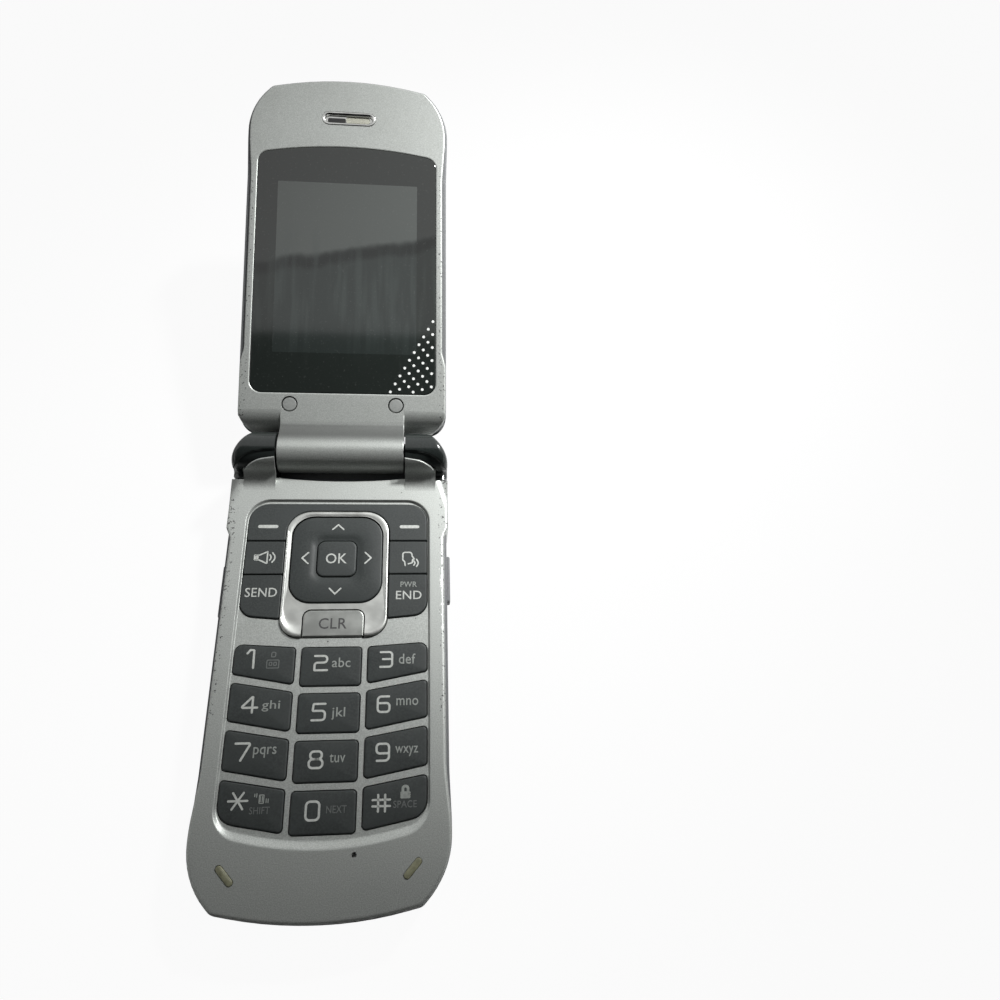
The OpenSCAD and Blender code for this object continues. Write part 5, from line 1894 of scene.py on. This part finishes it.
@dataclass
class Insides:
    """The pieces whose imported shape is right; they only get their finish."""

    finishes: dict[str, tuple[Finish, tuple[str, ...]]] = field(default_factory=lambda: {
        "wrap": (WRAP, ("battery_pack",)),
        "gold": (GOLD, ("battery_contacts",)),
        "boards": (BOARD, ("main_board", "lid_board")),
        "steel": (
            STEEL,
            (
                "shield_can", "usb_socket", "base_screws", "microphone", "vibration_motor",
                "lid_screws", "hinge_cartridge",
            ),
        ),
        "film": (FILM, ("dome_sheet", "antenna_carrier")),
        "mat": (SILICONE, ("keypad_mat",)),
        "black": (
            BLACK,
            ("nav_pivot_plate", "headset_jack", "loudspeaker", "earpiece_speaker", "hinge_bush"),
        ),
        "weight": (TUNGSTEN, ("eccentric_weight",)),
        "flex": (COPPER, ("flex_cable",)),
        "panels": (DISPLAY, ("lcd_panel", "outer_display")),
    })

    def build(self, nodes: dict[str, object]) -> None:
        """Dresses the nodes."""
        for finish, names in self.finishes.values():
            redress(nodes, names, finish)


# ---- the studio -----------------------------------------------------------------------------


@dataclass
class Studio:
    """The camera, the lamps, the pale floor and the world."""

    camera_at: Corner = (16.82, -47.22, 168.17)
    camera_turn: Corner = (27.817, -5.332, -2.467)
    lens: float = 28.943
    sensor: float = 36.0
    clip: Point = (0.005, 20.0)
    key_at: Corner = (330, 394, 460)
    key_aim: Corner = (58.6, 94, 10)
    key_size: float = 0.05
    key_cone: float = 21.8
    key_power: float = 38.0
    fill_at: Corner = (-260, -60, 300)
    fill_power: float = 0.06
    fill_size: float = 0.3
    room_light: float = 0.09
    floor_half: float = 3000.0
    floor_grey: Corner = (0.8, 0.8, 0.8)
    floor_glow: float = 0.95
    card_half: float = 700.0
    card_edge: float = 85.0
    card_near: float = -500.0
    card_height: float = 300.0
    card_grey: Corner = (0.05, 0.05, 0.05)

    def camera(self) -> None:
        """The camera where the photograph was taken from."""
        data = bpy.data.cameras.new("camera")
        data.lens, data.sensor_width = self.lens, self.sensor
        data.clip_start, data.clip_end = self.clip
        holder = bpy.data.objects.new("camera", data)
        holder.location = Vector(self.camera_at) * MM
        holder.rotation_euler = [math.radians(a) for a in self.camera_turn]
        bpy.context.scene.collection.objects.link(holder)
        bpy.context.scene.camera = holder

    def hang(self, data: bpy.types.Light, at: Corner, aim: Corner) -> None:
        """Hangs a lamp and points it."""
        holder = bpy.data.objects.new(data.name, data)
        holder.location = Vector(at) * MM
        holder.rotation_euler = (Vector(aim) - Vector(at)).to_track_quat("-Z", "Y").to_euler()
        bpy.context.scene.collection.objects.link(holder)

    def lamps(self) -> None:
        """A soft-edged key lamp low on the right beyond the hinge, and a weak broad fill."""
        key = bpy.data.lights.new("key_lamp", "SPOT")
        key.energy, key.shadow_soft_size = self.key_power, self.key_size
        key.spot_size, key.spot_blend = math.radians(self.key_cone), 1.0
        self.hang(key, self.key_at, self.key_aim)
        fill = bpy.data.lights.new("fill_lamp", "AREA")
        fill.shape, fill.size, fill.energy = "DISK", self.fill_size, self.fill_power
        self.hang(fill, self.fill_at, (0, HINGE_Y, 0))

    def world(self) -> None:
        """A pale world: white where it is seen or mirrored, soft where it only lights."""
        world = bpy.data.worlds.new("studio")
        bpy.context.scene.world = world
        world.use_nodes = True
        tree = world.node_tree
        rays = add_node(tree, "ShaderNodeLightPath").outputs
        seen = {0: rays["Is Camera Ray"], 1: rays["Is Transmission Ray"]}
        through = add_node(tree, "ShaderNodeMath", seen, operation="MAXIMUM").outputs[0]
        mirrored = {0: through, 1: rays["Is Glossy Ray"]}
        white = add_node(tree, "ShaderNodeMath", mirrored, operation="MAXIMUM").outputs[0]
        levels = {"Value": white, "To Min": self.room_light, "To Max": 1.0}
        level = add_node(tree, "ShaderNodeMapRange", levels).outputs["Result"]
        back = tree.nodes["Background"]
        put(tree, back.inputs["Color"], (1, 1, 1, 1))
        put(tree, back.inputs["Strength"], level)

    def floor(self) -> None:
        """A white floor that keeps a faint shadow."""
        skin = Skin()
        half = self.floor_half
        skin.faces.append(
            (
                tuple(
                    skin.ring([(-half, -half), (half, -half), (half, half), (-half, half)], -0.02)
                ),
                0,
            )
        )
        mesh = skin.mesh("floor", Place.BASE)
        floor = bpy.data.objects.new("floor", mesh)
        bpy.context.scene.collection.objects.link(floor)
        material = bpy.data.materials.new("floor_white")
        material.use_nodes = True
        tree = material.node_tree
        diffuse = add_node(tree, "ShaderNodeBsdfDiffuse", {"Color": (*self.floor_grey, 1)})
        glow = add_node(tree, "ShaderNodeEmission")
        rays = add_node(tree, "ShaderNodeLightPath").outputs
        share = {0: rays["Is Camera Ray"], 1: self.floor_glow}
        share = add_node(tree, "ShaderNodeMath", share, operation="MULTIPLY").outputs[0]
        mix = add_node(
            tree, "ShaderNodeMixShader", {0: share, 1: diffuse.outputs[0], 2: glow.outputs[0]}
        )
        put(tree, tree.nodes["Material Output"].inputs["Surface"], mix.outputs[0])
        mesh.materials.append(material)

    def card(self) -> None:
        """A dark card over and before the near end, which only mirrors see."""
        skin = Skin()
        far, near, half = self.card_edge - HINGE_Y, self.card_near, self.card_half
        rows = [
            skin.add([(-half, y, z), (half, y, z)])
            for y, z in ((far, self.card_height), (near, self.card_height), (near - 60, 0.0))
        ]
        skin.sew(rows, closed=False)
        card = bpy.data.objects.new("dark_card", skin.mesh("dark_card", Place.BASE))
        bpy.context.scene.collection.objects.link(card)
        card.visible_camera = card.visible_diffuse = False
        card.visible_shadow = card.visible_transmission = False
        material = bpy.data.materials.new("dark_card")
        material.use_nodes = True
        material.node_tree.nodes["Principled BSDF"].inputs["Base Color"].default_value = (
            *self.card_grey, 1
        )
        card.data.materials.append(material)

    def build(self) -> None:
        """Sets up the studio."""
        bpy.context.scene.view_settings.view_transform = "Standard"
        self.camera()
        self.lamps()
        self.world()
        self.floor()
        self.card()


def main() -> None:
    """Dresses the phone, sub-assembly by sub-assembly."""
    logging.basicConfig(level=logging.INFO, format="%(message)s")
    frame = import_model()
    Studio().build()
    keypad = Keypad()
    FrontHousing(keypad).build()
    keypad.build()
    Knuckles().build()
    RearHousing().build()
    Lid().build()
    Insides().build(frame["nodes"])


if __name__ == "__main__":
    main()
